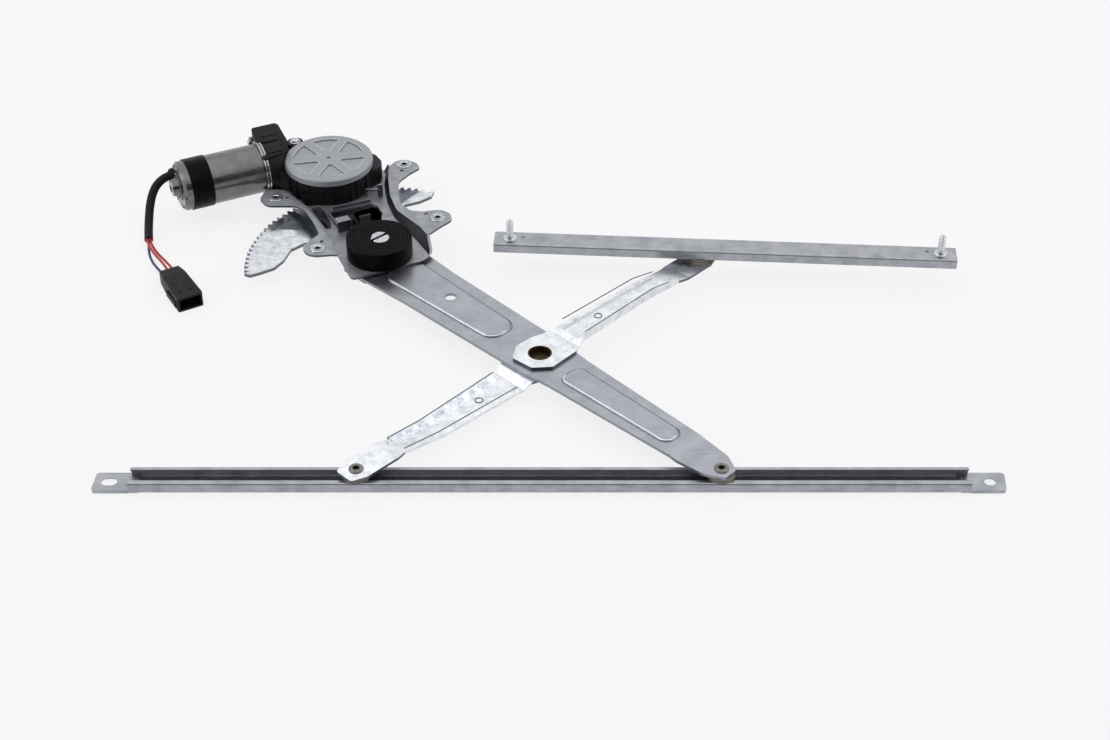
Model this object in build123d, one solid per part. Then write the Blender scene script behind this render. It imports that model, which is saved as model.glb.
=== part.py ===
from build123d import *
import os
from math import acos, cos, pi, radians, sin, tan

# Cross-arm power window regulator for a car door, lying flat on its face side.
# X runs along the glass rail, Y away from it towards the motor, Z up. The origin
# is on the axis of the main pivot, level with the underside of the glass rail.
# All lengths are millimetres.

# Linkage: the main arm runs from the pivot A through C to the roller B.
# The equaliser runs from D through C to E, and all four half lengths are equal.
ARM_LENGTH = 380.0
ARM_ANGLE = 45.6
HALF = ARM_LENGTH / 2
ARM_SHEET = 2.5
EQ_SHEET = 2.2
ARM_JOGGLE = 1.0
EMBOSS = 1.5
STACK_PLAY = 0.2

# Rails: two rolled channels, the glass rail open upwards, the door rail downwards.
RAIL_WALL = 1.2
GLASS_RAIL_LENGTH = 668.0
GLASS_RAIL_LEFT = 193.2
GLASS_RAIL_WIDTH = 20.2
RAIL_HEIGHT = 9.0
RAIL_GAP = 12.0
TAB_LENGTH = 27.0
TAB_TOP = 2.8
TAB_HOLE_INSET = 12.0
TAB_BOLT_HOLE_R = 4.25
TAB_SLOT_LENGTH = 12.0
DOOR_RAIL_LENGTH = 382.0
DOOR_RAIL_LEFT = 172.0
DOOR_RAIL_TILT = 3.73
DOOR_RAIL_BOTTOM = 20.0
STUD_INSET = 13.0
STUD_R = 3.0
STUD_LENGTH = 17.0
STUD_COLLAR_R = 5.6
STUD_COLLAR = 1.2
TACK_HOLE_STEP = 11.0
TACK_HOLE_R = 1.5

# Sliding shoes and the pins that carry them.
SHOE_GAP = 0.1
SHOE_FLANGE = 3.6
SHOE_FLANGE_R = 10.2
SHOE_SIDE_GAP = 0.3
PIN_R = 4.0
PIN_HEAD_R = 5.5
PIN_HEAD = 1.7
RUNNING = 0.05

# Sector gear and output pinion.
MODULE = 2.0
PINION_TEETH = 10
SECTOR_TEETH_ROUND = 112
PRESSURE_ANGLE = 25.0
ADDENDUM = 0.8
DEDENDUM = 1.05
BACKLASH = 0.25
SECTOR_SHEET = 3.0
SECTOR_FROM = 72.0
SECTOR_START = 70.0
SECTOR_TO = 189.0

# Base plate, turned with the motor about the pivot.
PLATE_ANGLE = 25.0
PLATE_SHEET = 1.8
WASHER = 1.6
EAR_TOP = 26.0
NUT_R = 6.2
NUT_BORE_R = 2.5
NUT_LENGTH = 7.0
NUT_PROUD = 1.2
NUTS = [(-53.8, 109.9), (66.2, 114.0), (60.3, 22.5), (-47.8, 21.0)]
PIVOT_R = 7.75
PIVOT_TOP = 37.2
PIVOT_HOLE_R = 9.5
FOOT_R = 14.0
FOOT_HEIGHT = 3.0
SLOT_WIDTH = 2.8
SLOT_DEPTH = 5.6
SLOT_ANGLE = 41.0

# Clock spring that helps to lift the glass.
SPRING_BOTTOM = 20.0
SPRING_TOP = 36.4
SPRING_R = 28.5
SPRING_STRIP = 1.3
SPRING_TURNS = 9

# Motor: gearbox with a flat die-cast cover, and a round can lying beside it.
COVER_R = 38.1
COVER_TOP = 45.7
COVER_RIM = 6.0
HOUSING_R = 36.4
MOTOR_AXIS_Z = 33.0
WORM_DISTANCE = 29.4
CAN_R = 21.5
CAN_WALL = 1.6
CAN_FRONT = -54.5
CAN_BACK = -122.0
BAND_FRONT = -100.9
BAND_BACK = -119.6

# Lead: sleeve, three wires and the connector that lies on the floor.
SLEEVE_R = 3.7
WIRE_R = 1.1
CONNECTOR_BACK = (-176.2, -9.1)
CONNECTOR_ANGLE = -60.3
CONNECTOR_LENGTH = 48.0
CONNECTOR_WIDTH = 20.0
CONNECTOR_HEIGHT = 13.0
MOUTH_DEPTH = 16.0
MOUTH_WALL = 1.7
CORE_THICK = 6.0
TERMINAL_PITCH = 5.0
RIB_SPREAD = 4.5

# Heights that follow from the stack of rail, shoe, arm and equaliser.
END_BOTTOM = RAIL_HEIGHT + SHOE_GAP + SHOE_FLANGE + SHOE_GAP
ARM_BOTTOM = END_BOTTOM + ARM_JOGGLE
ARM_TOP = ARM_BOTTOM + ARM_SHEET
PLATE_BOTTOM = ARM_TOP + WASHER + 2 * RUNNING
PLATE_TOP = PLATE_BOTTOM + PLATE_SHEET
SECTOR_BOTTOM = ARM_BOTTOM - SECTOR_SHEET
DOOR_END_TOP = DOOR_RAIL_BOTTOM - 2 * SHOE_GAP - SHOE_FLANGE

THROUGH = 80.0

# Plan positions of the joints.
C = (HALF * cos(radians(ARM_ANGLE)), -HALF * sin(radians(ARM_ANGLE)))
B = (2 * C[0], 2 * C[1])
D = (2 * C[0], 0.0)
E = (0.0, 2 * C[1])
ARM = Rot(0, 0, -ARM_ANGLE)
UPPER_HALF = Pos(C[0], C[1], 0) * Rot(0, 0, ARM_ANGLE)
LOWER_HALF = UPPER_HALF * Rot(0, 0, 180)
GLASS = Pos(0, E[1], 0)
DOOR = Pos(D[0], D[1], 0) * Rot(0, 0, -DOOR_RAIL_TILT)
PLATE = Rot(0, 0, PLATE_ANGLE)
PITCH_R = MODULE * SECTOR_TEETH_ROUND / 2
PINION_PITCH_R = MODULE * PINION_TEETH / 2
GEAR_CENTRES = PITCH_R + PINION_PITCH_R
OUTPUT = PLATE * Pos(0, GEAR_CENTRES, 0)
WORM_V = GEAR_CENTRES + WORM_DISTANCE
MOTOR = PLATE * Pos(0, WORM_V, MOTOR_AXIS_Z) * Rot(0, 90, 0)


def outline(points, radius=0.0):
    """A closed flat outline, with its corners rounded by one radius or a list of them."""
    if radius == 0:
        return Polygon(*points, align=None)
    return make_face(FilletPolyline(*points, radius=radius, close=True))


def slab(face, low, high):
    return Pos(0, 0, low) * extrude(face, amount=high - low)


def disc(x, y, radius, low, high):
    return Pos(x, y, (low + high) / 2) * Cylinder(radius, high - low)


def turned(profile):
    """A body of revolution about Z from a half profile of (radius, height) points."""
    return revolve(Plane.XZ * Polygon(*profile, align=None), Axis.Z, 360)


def strip(bottom_line, sheet, half_width):
    """Sheet that follows a line of (along, height) points and reaches to both sides."""
    top_line = [(x, z + sheet) for x, z in reversed(bottom_line)]
    side = Polygon(*bottom_line, *top_line, align=None)
    return extrude(Plane.XZ * side, amount=half_width, both=True)


def mirrored(points):
    """A symmetric outline from the points of its + side, given from back to front."""
    return points + [(x, -y) for x, y in reversed(points)]


# Main arm: pressed blank with two raised beads, a joggle at its end and holes.
ARM_WIDTHS = [(-30, 20), (-10, 31.5), (10, 31.5), (60, 28), (HALF, 25), (HALF + 32, 21.5)]
ARM_WIDTHS += [(ARM_LENGTH - 28, 16.5), (ARM_LENGTH - 6, 14), (ARM_LENGTH + 9, 6)]
ARM_CORNERS = [12, 20, 40, 60, 60, 30, 30, 12, 4]
BEADS = [((22, 18.5), (HALF - 40, 14)), ((HALF + 32, 11.5), (ARM_LENGTH - 46, 9.5))]
BEAD_WALL = 1.2
JOGGLE_FROM = 36.0
JOGGLE_RUN = 6.0
ARM_HOLE = (84.0, 2.0, 4.8)
BUSH_R = 10.2
BUSH_NECK_R = 9.5
BUSH_INNER_R = 8.6
SHAFT_R = 9.0
SECTOR_RIVET_R = 2.5
SECTOR_RIVET_CIRCLE = 22.0


def sector_rivet_places():
    return [(SECTOR_RIVET_CIRCLE * cos(radians(a)), SECTOR_RIVET_CIRCLE * sin(radians(a))) for a in (70, 160, 250)]


def bead_outline(bead, shrink, height):
    (start, start_half), (end, end_half) = bead
    a, b = start_half - shrink, end_half - shrink
    points = [(start + shrink, a), (end - shrink, b), (end - shrink, -b), (start + shrink, -a)]
    return Pos(0, 0, height) * outline(points, [0.6 * a, 0.9 * b, 0.9 * b, 0.6 * a])


def bead_form(bead, shrink, low):
    """The raised form of a bead, with sides that lean in at 45 degrees."""
    return loft([bead_outline(bead, shrink, low), bead_outline(bead, shrink + EMBOSS, low + EMBOSS)], ruled=True)


def main_arm():
    joggle = ARM_LENGTH - JOGGLE_FROM
    line = [(-60, ARM_BOTTOM), (joggle, ARM_BOTTOM), (joggle + JOGGLE_RUN, END_BOTTOM)]
    sheet = strip(line + [(ARM_LENGTH + 20, END_BOTTOM)], ARM_SHEET, 45)
    blank = outline(mirrored(ARM_WIDTHS), ARM_CORNERS + ARM_CORNERS[::-1])
    arm = sheet & slab(blank, 0, THROUGH)
    for bead in BEADS:
        arm += bead_form(bead, 0, ARM_TOP)
        arm -= bead_form(bead, BEAD_WALL, ARM_BOTTOM)
    arm -= disc(*ARM_HOLE, 0, THROUGH)
    arm -= disc(0, 0, SHAFT_R, 0, THROUGH)
    arm -= disc(HALF, 0, BUSH_R + RUNNING, 0, THROUGH)
    arm -= disc(ARM_LENGTH, 0, PIN_R, 0, THROUGH)
    for x, y in sector_rivet_places():
        arm -= disc(x, y, SECTOR_RIVET_R, 0, THROUGH)
    return ARM * arm


# Toothed sector: involute stub teeth on a stamped quadrant, riveted under the arm.
def involute_half_angle(radius, pitch_radius, teeth, thin):
    """Half the angle of a tooth at a radius, in radians."""
    base = pitch_radius * cos(radians(PRESSURE_ANGLE))
    at_pitch = radians(PRESSURE_ANGLE)
    here = acos(min(1.0, base / radius))
    half_at_pitch = pi / (2 * teeth) - thin / (2 * pitch_radius)
    return half_at_pitch + (tan(at_pitch) - at_pitch) - (tan(here) - here)


def tooth_points(centre_angle, pitch_radius, teeth):
    """One tooth from root to root, as (x, y) points, going round anticlockwise."""
    root = pitch_radius - DEDENDUM * MODULE
    tip = pitch_radius + ADDENDUM * MODULE
    base = max(root, pitch_radius * cos(radians(PRESSURE_ANGLE)))
    radii = [base + (tip - base) * k / 3 for k in range(4)]
    flank = [(root, involute_half_angle(base, pitch_radius, teeth, BACKLASH / 2) + 0.3 / pitch_radius)]
    flank += [(r, involute_half_angle(r, pitch_radius, teeth, BACKLASH / 2)) for r in radii]
    rising = [(r, centre_angle - half) for r, half in flank]
    falling = [(r, centre_angle + half) for r, half in reversed(flank)]
    return [(r * cos(a), r * sin(a)) for r, a in rising + falling]


def sector_gear():
    # A tooth gap of the sector faces the pinion at rest.
    pitch = 2 * pi / SECTOR_TEETH_ROUND
    meshing = radians(90 + PLATE_ANGLE) + pitch / 2
    first = meshing - pitch * int((meshing - radians(SECTOR_FROM)) / pitch)
    count = int((radians(SECTOR_TO) - first) / pitch) + 1
    points = []
    for k in range(count):
        points += tooth_points(first + k * pitch, PITCH_R, SECTOR_TEETH_ROUND)
    tip = PITCH_R + ADDENDUM * MODULE
    end = (-tip * cos(radians(10)), -tip * sin(radians(10)))
    body = [end, (-107, -22), (-99, -18), (-88, -11), (-81.5, 0), (-77, 16), (-66, 26), (-34, 22)]
    body += [(-30, -12), (-12, -30), (12, -30), (30, -12), (30, 14), (18, 34), (12, 82), (15, 85.5), (27.5, 91), (37, 99)]
    start = (tip * cos(radians(SECTOR_START)), tip * sin(radians(SECTOR_START)))
    gear = slab(Polygon(*points, *body, start, align=None), SECTOR_BOTTOM, ARM_BOTTOM)
    gear -= disc(0, 0, SHAFT_R, 0, THROUGH)
    for x, y in sector_rivet_places():
        spot = ARM * Pos(x, y, 0)
        gear -= spot * disc(0, 0, SECTOR_RIVET_R, 0, THROUGH)
    return gear


def sector_rivets():
    head = 1.2
    profile = [(0, SECTOR_BOTTOM - head), (4, SECTOR_BOTTOM - head), (4.4, SECTOR_BOTTOM), (SECTOR_RIVET_R, SECTOR_BOTTOM)]
    profile += [(SECTOR_RIVET_R, ARM_TOP), (0, ARM_TOP)]
    return [ARM * Pos(x, y, 0) * turned(profile) for x, y in sector_rivet_places()]


# Pivot: a stepped pin riveted to the arm, which turns in the plate's bush.
BUSH_WALL = 2.6
BUSH_TOP = SPRING_BOTTOM - 0.2


def pivot_shaft():
    profile = [(0, 0), (FOOT_R - 1, 0), (FOOT_R, 1), (FOOT_R, FOOT_HEIGHT), (SHAFT_R + 2.5, FOOT_HEIGHT + 1.5)]
    profile += [(SHAFT_R + 2.5, SECTOR_BOTTOM), (SHAFT_R, SECTOR_BOTTOM), (SHAFT_R, ARM_TOP), (PIVOT_R, ARM_TOP)]
    profile += [(PIVOT_R, PIVOT_TOP - 0.8), (PIVOT_R - 0.8, PIVOT_TOP), (0, PIVOT_TOP)]
    slot = Rot(0, 0, SLOT_ANGLE) * Pos(0, 0, PIVOT_TOP) * Box(4 * PIVOT_R, SLOT_WIDTH, 2 * SLOT_DEPTH)
    return turned(profile) - slot


def pivot_washer():
    low = ARM_TOP + RUNNING
    return disc(0, 0, PIVOT_HOLE_R + 4, low, low + WASHER) - disc(0, 0, PIVOT_R + RUNNING, 0, THROUGH)


def pivot_bush():
    outer = PIVOT_R + RUNNING + BUSH_WALL
    bush = disc(0, 0, outer, PLATE_BOTTOM, BUSH_TOP) - disc(0, 0, PIVOT_R + RUNNING, 0, THROUGH)
    return bush


# Clock spring: flat strip wound about the pin. Its inner end sits in the pin's slot
# and its outer end turns out and hooks round a tab of the plate.
SPRING_END_ANGLE = 115.4
SPRING_TURN_OUT_R = 6.0
HOOK_R = 5.0
HOOK_V = 45.8
HOOK_WIDTH = 23.0
HOOK_RETURN = 5.0
TANG_SHORT = 2.4
TANG_PLAY = 0.3


def spring_tail():
    """The strip from the last turn to the hook, as a flat face in the plate's frame."""
    middle = SPRING_R - SPRING_STRIP / 2
    end = radians(SPRING_END_ANGLE)
    away = middle + SPRING_TURN_OUT_R
    centre = (away * cos(end), away * sin(end))
    left = centre[0] + SPRING_TURN_OUT_R
    right = left + HOOK_WIDTH
    bend = HOOK_V - HOOK_R
    turn_out = CenterArc(centre, SPRING_TURN_OUT_R, SPRING_END_ANGLE + 180, 180 - SPRING_END_ANGLE)
    leg = Line((left, centre[1]), (left, bend))
    near = CenterArc((left + HOOK_R, bend), HOOK_R, 180, -90)
    back = Line((left + HOOK_R, HOOK_V), (right - HOOK_R, HOOK_V))
    far = CenterArc((right - HOOK_R, bend), HOOK_R, 90, -90)
    tip = Line((right, bend), (right, bend - HOOK_RETURN))
    return trace(Curve() + [turn_out, leg, near, back, far, tip], SPRING_STRIP)


def clock_spring():
    inner = PIVOT_R + 0.9
    grow = (SPRING_R - SPRING_STRIP - inner) / (2 * SPRING_TURNS)
    inside, outside = [], []
    for half in range(2 * SPRING_TURNS):
        centre = (0, 0) if half % 2 == 0 else (-grow, 0)
        start = 180 if half % 2 == 0 else 0
        inside.append(CenterArc(centre, inner + half * grow, start, 180))
        outside.append(CenterArc(centre, inner + half * grow + SPRING_STRIP, start, 180))
    caps = [Line(inside[0] @ 0, outside[0] @ 0), Line(inside[-1] @ 1, outside[-1] @ 1)]
    winding = mirror(make_face(inside + outside + caps), Plane.XZ)
    coil = slab(Rot(0, 0, SPRING_END_ANGLE - 180) * winding, SPRING_BOTTOM, SPRING_TOP)
    slot_end = SLOT_ANGLE - PLATE_ANGLE + 180
    first = CenterArc((0, 0), inner + SPRING_STRIP / 2, SPRING_END_ANGLE, slot_end - SPRING_END_ANGLE)
    coil += slab(trace(first, SPRING_STRIP), SPRING_BOTTOM, SPRING_TOP)
    tang = slab(Pos(-inner + 1.5, 0) * Rectangle(6, SPRING_STRIP), PIVOT_TOP - SLOT_DEPTH + TANG_PLAY, PIVOT_TOP - TANG_SHORT)
    coil += Rot(0, 0, slot_end - 180) * tang
    coil += slab(spring_tail(), SPRING_BOTTOM, SPRING_TOP)
    return PLATE * coil


# Base plate: pressed pan with leaning side walls, turned-out rims, four ears, and
# windows for the spring's hook and above the sector.
PLATE_FRONT = -24.0
PLATE_BACK = 152.0
FLOOR = [(-35, PLATE_FRONT), (26, PLATE_FRONT), (36, -19), (33.5, 16), (30.3, 48), (33.5, 72), (41, 98), (50, 118)]
FLOOR += [(38, PLATE_BACK), (-30, PLATE_BACK), (-44, 128), (-38, 105), (-33, 88), (-32, 62), (-32, 30)]
BRIM = [(-39, PLATE_FRONT), (36, PLATE_FRONT), (46, -19), (44, 16), (34, 48), (37.5, 72), (46, 98), (55, 118)]
BRIM += [(41, PLATE_BACK), (-33, PLATE_BACK), (-46, 128), (-40, 105), (-35, 88), (-34, 62), (-34.5, 30)]
FLOOR_CORNERS = [4, 8, 8, 30, 24, 30, 30, 10, 14, 14, 10, 20, 30, 30, 30]
LEFT_RIM = [(-30, 2), (-41, 8), (-47, 9.8), (-59, 15), (-59, 29), (-47, 36.5), (-39, 41), (-37.5, 60), (-38, 80), (-42, 90)]
LEFT_RIM += [(-54, 96), (-65, 101), (-67, 114), (-57, 126), (-45, 120), (-36, 105), (-31, 88), (-29, 62)]
LEFT_CORNERS = [1, 6, 12, 10, 10, 12, 8, 20, 20, 8, 8, 8, 6, 8, 10, 20, 20, 20]
RIGHT_RIM = [(38, -4), (42, 1), (57, 8.5), (70, 14), (73, 24), (67, 33), (52, 37), (44, 42), (40, 54), (42, 64), (46, 77)]
RIGHT_RIM += [(52, 90), (66, 98.5), (77, 103), (77, 112), (71, 121), (62, 123), (48, 113), (36, 88), (29, 66), (29, 40)]
RIGHT_CORNERS = [1, 3, 10, 6, 8, 8, 10, 8, 12, 20, 20, 10, 6, 4, 6, 6, 10, 20, 20, 20, 10]
WINDOW = [(-19.5, 47.5), (17, 51), (23.5, 55), (24, 71), (20, 76), (-17.5, 79)]
WINDOW_CORNERS = [3, 6, 5, 5, 4, 3]
SIDE_WINDOW = [(-29, 56), (-25, 52), (-21.5, 62), (-20, 80), (-22, 90), (-29.5, 90)]
SIDE_WINDOW_CORNER = 2.0
EAR_HOLES = [(-45.2, 105.7), (60.5, 105.5), (53.5, 32.0), (-41.2, 29.6)]
EAR_HOLE_R = 1.6
WALL_FOOT = PLATE_FRONT + 2.0
WALL_START = 3.0
BACK_OPEN = 32.0
HOOK_TAB_WIDTH = 10.0
HOOK_TAB_SHORT = 5.0
HOOK_TAB_PLAY = 0.2
STOP_TAB_WIDTH = 11.5
STOP_TAB_TOP = 30.0
STOP_TAB_DEPTH = 7.5
OUTPUT_HOLE_R = 14.0
# Each screw: its place, the top of its boss, and whether it goes right through it.
HOUSING_SCREWS = [(-16.4, WORM_V + 11.6, 43.6), (38.0, 118.0, 30.0), (-26.0, 101.0, 30.0)]
HOUSING_SCREW_R = 2.6
SCREW_HEAD = 2.2


def pan(low):
    """The space inside the plate's floor and leaning walls, from a height upwards."""
    rise = EAR_TOP - PLATE_BOTTOM
    bottom = Pos(0, 0, low) * outline(FLOOR, FLOOR_CORNERS)
    top = Pos(0, 0, low + rise) * outline(BRIM, FLOOR_CORNERS)
    return loft([bottom, top], ruled=True)


def base_plate():
    inside = pan(PLATE_TOP)
    long = 4 * THROUGH
    ahead = PLATE_FRONT - THROUGH
    rise = [(ahead, PLATE_TOP), (WALL_FOOT, PLATE_TOP), (WALL_START, EAR_TOP), (WALL_START, THROUGH), (ahead, THROUGH)]
    front = extrude(Plane.YZ * Polygon(*rise, align=None), amount=long, both=True)
    back = Pos(0, PLATE_BACK, PLATE_TOP + THROUGH / 2) * Box(long, 2 * BACK_OPEN, THROUGH)
    plate = pan(PLATE_BOTTOM) - inside - front - back
    rims = outline(LEFT_RIM, LEFT_CORNERS) + outline(RIGHT_RIM, RIGHT_CORNERS)
    plate += slab(rims, EAR_TOP - PLATE_SHEET, EAR_TOP) - inside
    plate -= slab(outline(WINDOW, WINDOW_CORNERS), 0, PLATE_TOP + 1)
    plate -= slab(outline(SIDE_WINDOW, SIDE_WINDOW_CORNER), 0, PLATE_TOP + 1)
    plate -= disc(0, 0, PIVOT_R + RUNNING + BUSH_WALL, 0, THROUGH)
    plate -= disc(0, GEAR_CENTRES, OUTPUT_HOLE_R, 0, THROUGH)
    for u, v in NUTS:
        plate -= disc(u, v, NUT_R - 1.0, 0, THROUGH)
    for u, v in EAR_HOLES:
        plate -= disc(u, v, EAR_HOLE_R, 0, THROUGH)
    for u, v, top in HOUSING_SCREWS:
        plate -= disc(u, v, HOUSING_SCREW_R, 0, THROUGH)
    return PLATE * (plate + hook_tab() + stop_tab())


def hook_left():
    """Where the spring's leg runs out to its hook."""
    away = SPRING_R - SPRING_STRIP / 2 + SPRING_TURN_OUT_R
    return away * cos(radians(SPRING_END_ANGLE)) + SPRING_TURN_OUT_R


def hook_tab():
    """A tab that stands on the floor inside the spring's hook."""
    u = hook_left() + HOOK_WIDTH / 2
    v = HOOK_V - SPRING_STRIP / 2 - HOOK_TAB_PLAY - PLATE_SHEET / 2
    tip = SPRING_TOP - HOOK_TAB_SHORT
    return Pos(u, v, (PLATE_BOTTOM + tip) / 2) * Box(HOOK_TAB_WIDTH, PLATE_SHEET, tip - PLATE_BOTTOM)


def stop_tab():
    """A tab bent up at the window's front left corner, with its top bent back over it."""
    u = hook_left() - SPRING_STRIP / 2 - HOOK_TAB_PLAY - STOP_TAB_WIDTH / 2
    v = WINDOW[0][1] - PLATE_SHEET
    stand = Pos(u, v, (PLATE_BOTTOM + STOP_TAB_TOP) / 2) * Box(STOP_TAB_WIDTH, PLATE_SHEET, STOP_TAB_TOP - PLATE_BOTTOM)
    lid = Pos(u, v + (STOP_TAB_DEPTH - PLATE_SHEET) / 2, STOP_TAB_TOP - PLATE_SHEET / 2)
    return stand + lid * Box(STOP_TAB_WIDTH, STOP_TAB_DEPTH, PLATE_SHEET)


def weld_nuts():
    """Round collar nuts pressed into the ears from above, with a plain body below."""
    neck = NUT_R - 1.0
    low = EAR_TOP - (NUT_LENGTH - NUT_PROUD)
    profile = [(NUT_BORE_R, low), (neck, low), (neck, EAR_TOP), (NUT_R, EAR_TOP), (NUT_R, EAR_TOP + NUT_PROUD - 0.5)]
    profile += [(NUT_R - 0.5, EAR_TOP + NUT_PROUD), (NUT_BORE_R, EAR_TOP + NUT_PROUD)]
    return [PLATE * Pos(u, v, 0) * turned(profile) for u, v in NUTS]


# Gearbox: moulded housing, die-cast cover, worm wheel, output shaft and pinion.
HOUSING_TOP = COVER_TOP - COVER_RIM + 0.8
COVER_WALL = 2.0
COVER_PLAY = 0.4
CASE_GAP = 0.1
WHEEL_R = 24.2
WHEEL_HALF = 4.5
WORM_R = 4.6
OUTPUT_SHAFT_R = 6.0
PINION_SHAFT_R = 4.0
PINION_BOTTOM = SECTOR_BOTTOM - 0.6
PINION_TOP = ARM_BOTTOM + 0.6
TUNNEL_R = 10.0
TUNNEL_START = -30.0
TUNNEL_END = 25.0
FLANGE_R = 23.5
FLANGE_BACK = CAN_FRONT + 3.8
BELL_R = 22.5
BELL_END = -36.0
LUG_ANGLE = 35.0
LUG_R = 4.5
LUG_CIRCLE = 25.5
LUG_END = -45.6
MOTOR_SCREW_R = 1.8
MOTOR_SCREW_HEAD_R = 3.0
MOTOR_SCREW_END = -46.4
SCREW_BOSS_R = 7.0
SCREW_HEAD_R = 4.6
SCREW_BLIND = 1.5
NECK = [(-49, 134), (-20, 112), (-20, 170), (-49, 176)]
NECK_TOP = 38.0
SIDE = [(20, 96), (40, 104), (45, 112), (44, 124), (38, 134), (20, 150)]
SIDE_TOP = 36.0
BACK = [(-30, 150), (-16, 150), (-2, 182), (-17, 182), (-30, 172)]
BACK_TOP = 30.0
BLOCK = [(-54.8, 134), (-27, 138), (-28.5, 173), (-52.5, 173)]
BLOCK_CORNERS = [2.0, 3.0, 4.0, 3.0]
BLOCK_FRONT_TOP = 51.5
BLOCK_LEAN = 13.4
SPOKES = 3
SPOKE_WIDTH = 8.6
SPOKE_START = 70.5
HUB_R = 11.5
RIM_INNER_R = HOUSING_R - 1.5
POCKET_R = 30.5
POCKET_DEPTH = 1.8


def along_motor(radius, start, end):
    """A round bar on the motor's axis between two places along it."""
    return MOTOR * Pos(0, 0, (start + end) / 2) * Cylinder(radius, end - start)


def at_flange_lugs(bar_radius, start, end):
    """Round bars along the motor's axis at the two lugs of its flange."""
    bars = Part()
    for side in (1, -1):
        place = MOTOR * Rot(0, 0, LUG_ANGLE) * Pos(0, side * LUG_CIRCLE, (start + end) / 2)
        bars += place * Cylinder(bar_radius, end - start)
    return bars


def block_space(play):
    """The brush block's own room on the neck, over the flange and under a leaning top."""
    room = slab(offset(outline(BLOCK, BLOCK_CORNERS), play), NECK_TOP - play, THROUGH)
    above = Pos(0, BLOCK[0][1], BLOCK_FRONT_TOP + play) * Rot(BLOCK_LEAN, 0, 0) * Pos(0, 0, THROUGH / 2)
    room -= above * Box(4 * THROUGH, 4 * THROUGH, THROUGH)
    room -= disc(0, GEAR_CENTRES, COVER_R + COVER_PLAY - play, 0, THROUGH)
    room = PLATE * room - along_motor(FLANGE_R + CASE_GAP - play, CAN_FRONT - HOUSING_R, BELL_END - play)
    return room - at_flange_lugs(LUG_R + CASE_GAP - play, CAN_FRONT - HOUSING_R, LUG_END + CASE_GAP - play)


def screw_end(top):
    """The height where a housing screw ends: over a high boss it has a washer head."""
    return top if top > MOTOR_AXIS_Z else top - SCREW_BLIND


def gear_housing():
    body = disc(0, GEAR_CENTRES, HOUSING_R, PLATE_TOP, HOUSING_TOP)
    for u, v, top in HOUSING_SCREWS:
        body += disc(u, v, SCREW_BOSS_R, PLATE_TOP, top)
    body += slab(outline(NECK, [4, 1, 1, 4]), PLATE_TOP, NECK_TOP)
    body += slab(outline(SIDE, [1, 6, 6, 6, 6, 1]), PLATE_TOP, SIDE_TOP)
    body += slab(outline(BACK, [1, 1, 4, 4, 4]), PLATE_TOP, BACK_TOP)
    body = PLATE * body + along_motor(TUNNEL_R, TUNNEL_START, TUNNEL_END)
    body += along_motor(BELL_R, FLANGE_BACK + CASE_GAP, BELL_END)
    body += at_flange_lugs(LUG_R, FLANGE_BACK + CASE_GAP, LUG_END)
    over_plate = Pos(BELL_END, WORM_V, PLATE_TOP / 2) * Box(2 * (BELL_END - LUG_END), 2 * HOUSING_R, PLATE_TOP)
    cavity = disc(0, GEAR_CENTRES, WHEEL_R + 1.2, MOTOR_AXIS_Z - WHEEL_HALF - 0.6, HOUSING_TOP + 1)
    cavity += disc(0, GEAR_CENTRES, OUTPUT_SHAFT_R + RUNNING, 0, HOUSING_TOP)
    for u, v, top in HOUSING_SCREWS:
        cavity += disc(u, v, HOUSING_SCREW_R, 0, screw_end(top))
    body -= PLATE * (cavity + over_plate)
    body -= along_motor(WORM_R + 1.0, CAN_FRONT, TUNNEL_END - 4)
    body -= along_motor(CAN_R - CAN_WALL - 0.4, CAN_FRONT, LUG_END)
    body -= at_flange_lugs(MOTOR_SCREW_R, CAN_FRONT, MOTOR_SCREW_END + 0.2)
    body -= block_space(CASE_GAP)
    return body - OUTPUT * cover_skirt_space()


def cover_skirt_space():
    """The space that the cover's rim takes round the bowl, with its clearance."""
    low = COVER_TOP - COVER_RIM - CASE_GAP
    ring = disc(0, 0, COVER_R + COVER_PLAY, low, THROUGH) - disc(0, 0, RIM_INNER_R - CASE_GAP, 0, THROUGH)
    return ring + disc(0, 0, COVER_R + COVER_PLAY, HOUSING_TOP, THROUGH)


def gear_cover():
    low = COVER_TOP - COVER_RIM
    cover = disc(0, 0, COVER_R, low, COVER_TOP)
    cover = chamfer(cover.edges().filter_by(GeomType.CIRCLE).sort_by(Axis.Z)[-1], 1.2)
    cover -= disc(0, 0, RIM_INNER_R, low - 1, COVER_TOP - COVER_WALL - POCKET_DEPTH)
    pockets = disc(0, 0, POCKET_R, COVER_TOP - POCKET_DEPTH, COVER_TOP + 1)
    pockets -= disc(0, 0, HUB_R, 0, THROUGH)
    for k in range(SPOKES):
        turn = SPOKE_START + k * 180 / SPOKES - PLATE_ANGLE
        pockets -= Rot(0, 0, turn) * Pos(0, 0, COVER_TOP) * Box(3 * COVER_R, SPOKE_WIDTH, 20)
    cover -= pockets
    cover -= disc(0, 0, 1.8, COVER_TOP - 3, COVER_TOP + 1)
    return OUTPUT * cover


def drive_gear():
    wheel = disc(0, 0, WHEEL_R, MOTOR_AXIS_Z - WHEEL_HALF, MOTOR_AXIS_Z + WHEEL_HALF)
    web = disc(0, 0, WHEEL_R - 4, MOTOR_AXIS_Z + 1.5, THROUGH) - disc(0, 0, OUTPUT_SHAFT_R + 4, 0, THROUGH)
    return OUTPUT * (wheel - web - disc(0, 0, OUTPUT_SHAFT_R - 1, 0, THROUGH))


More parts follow.
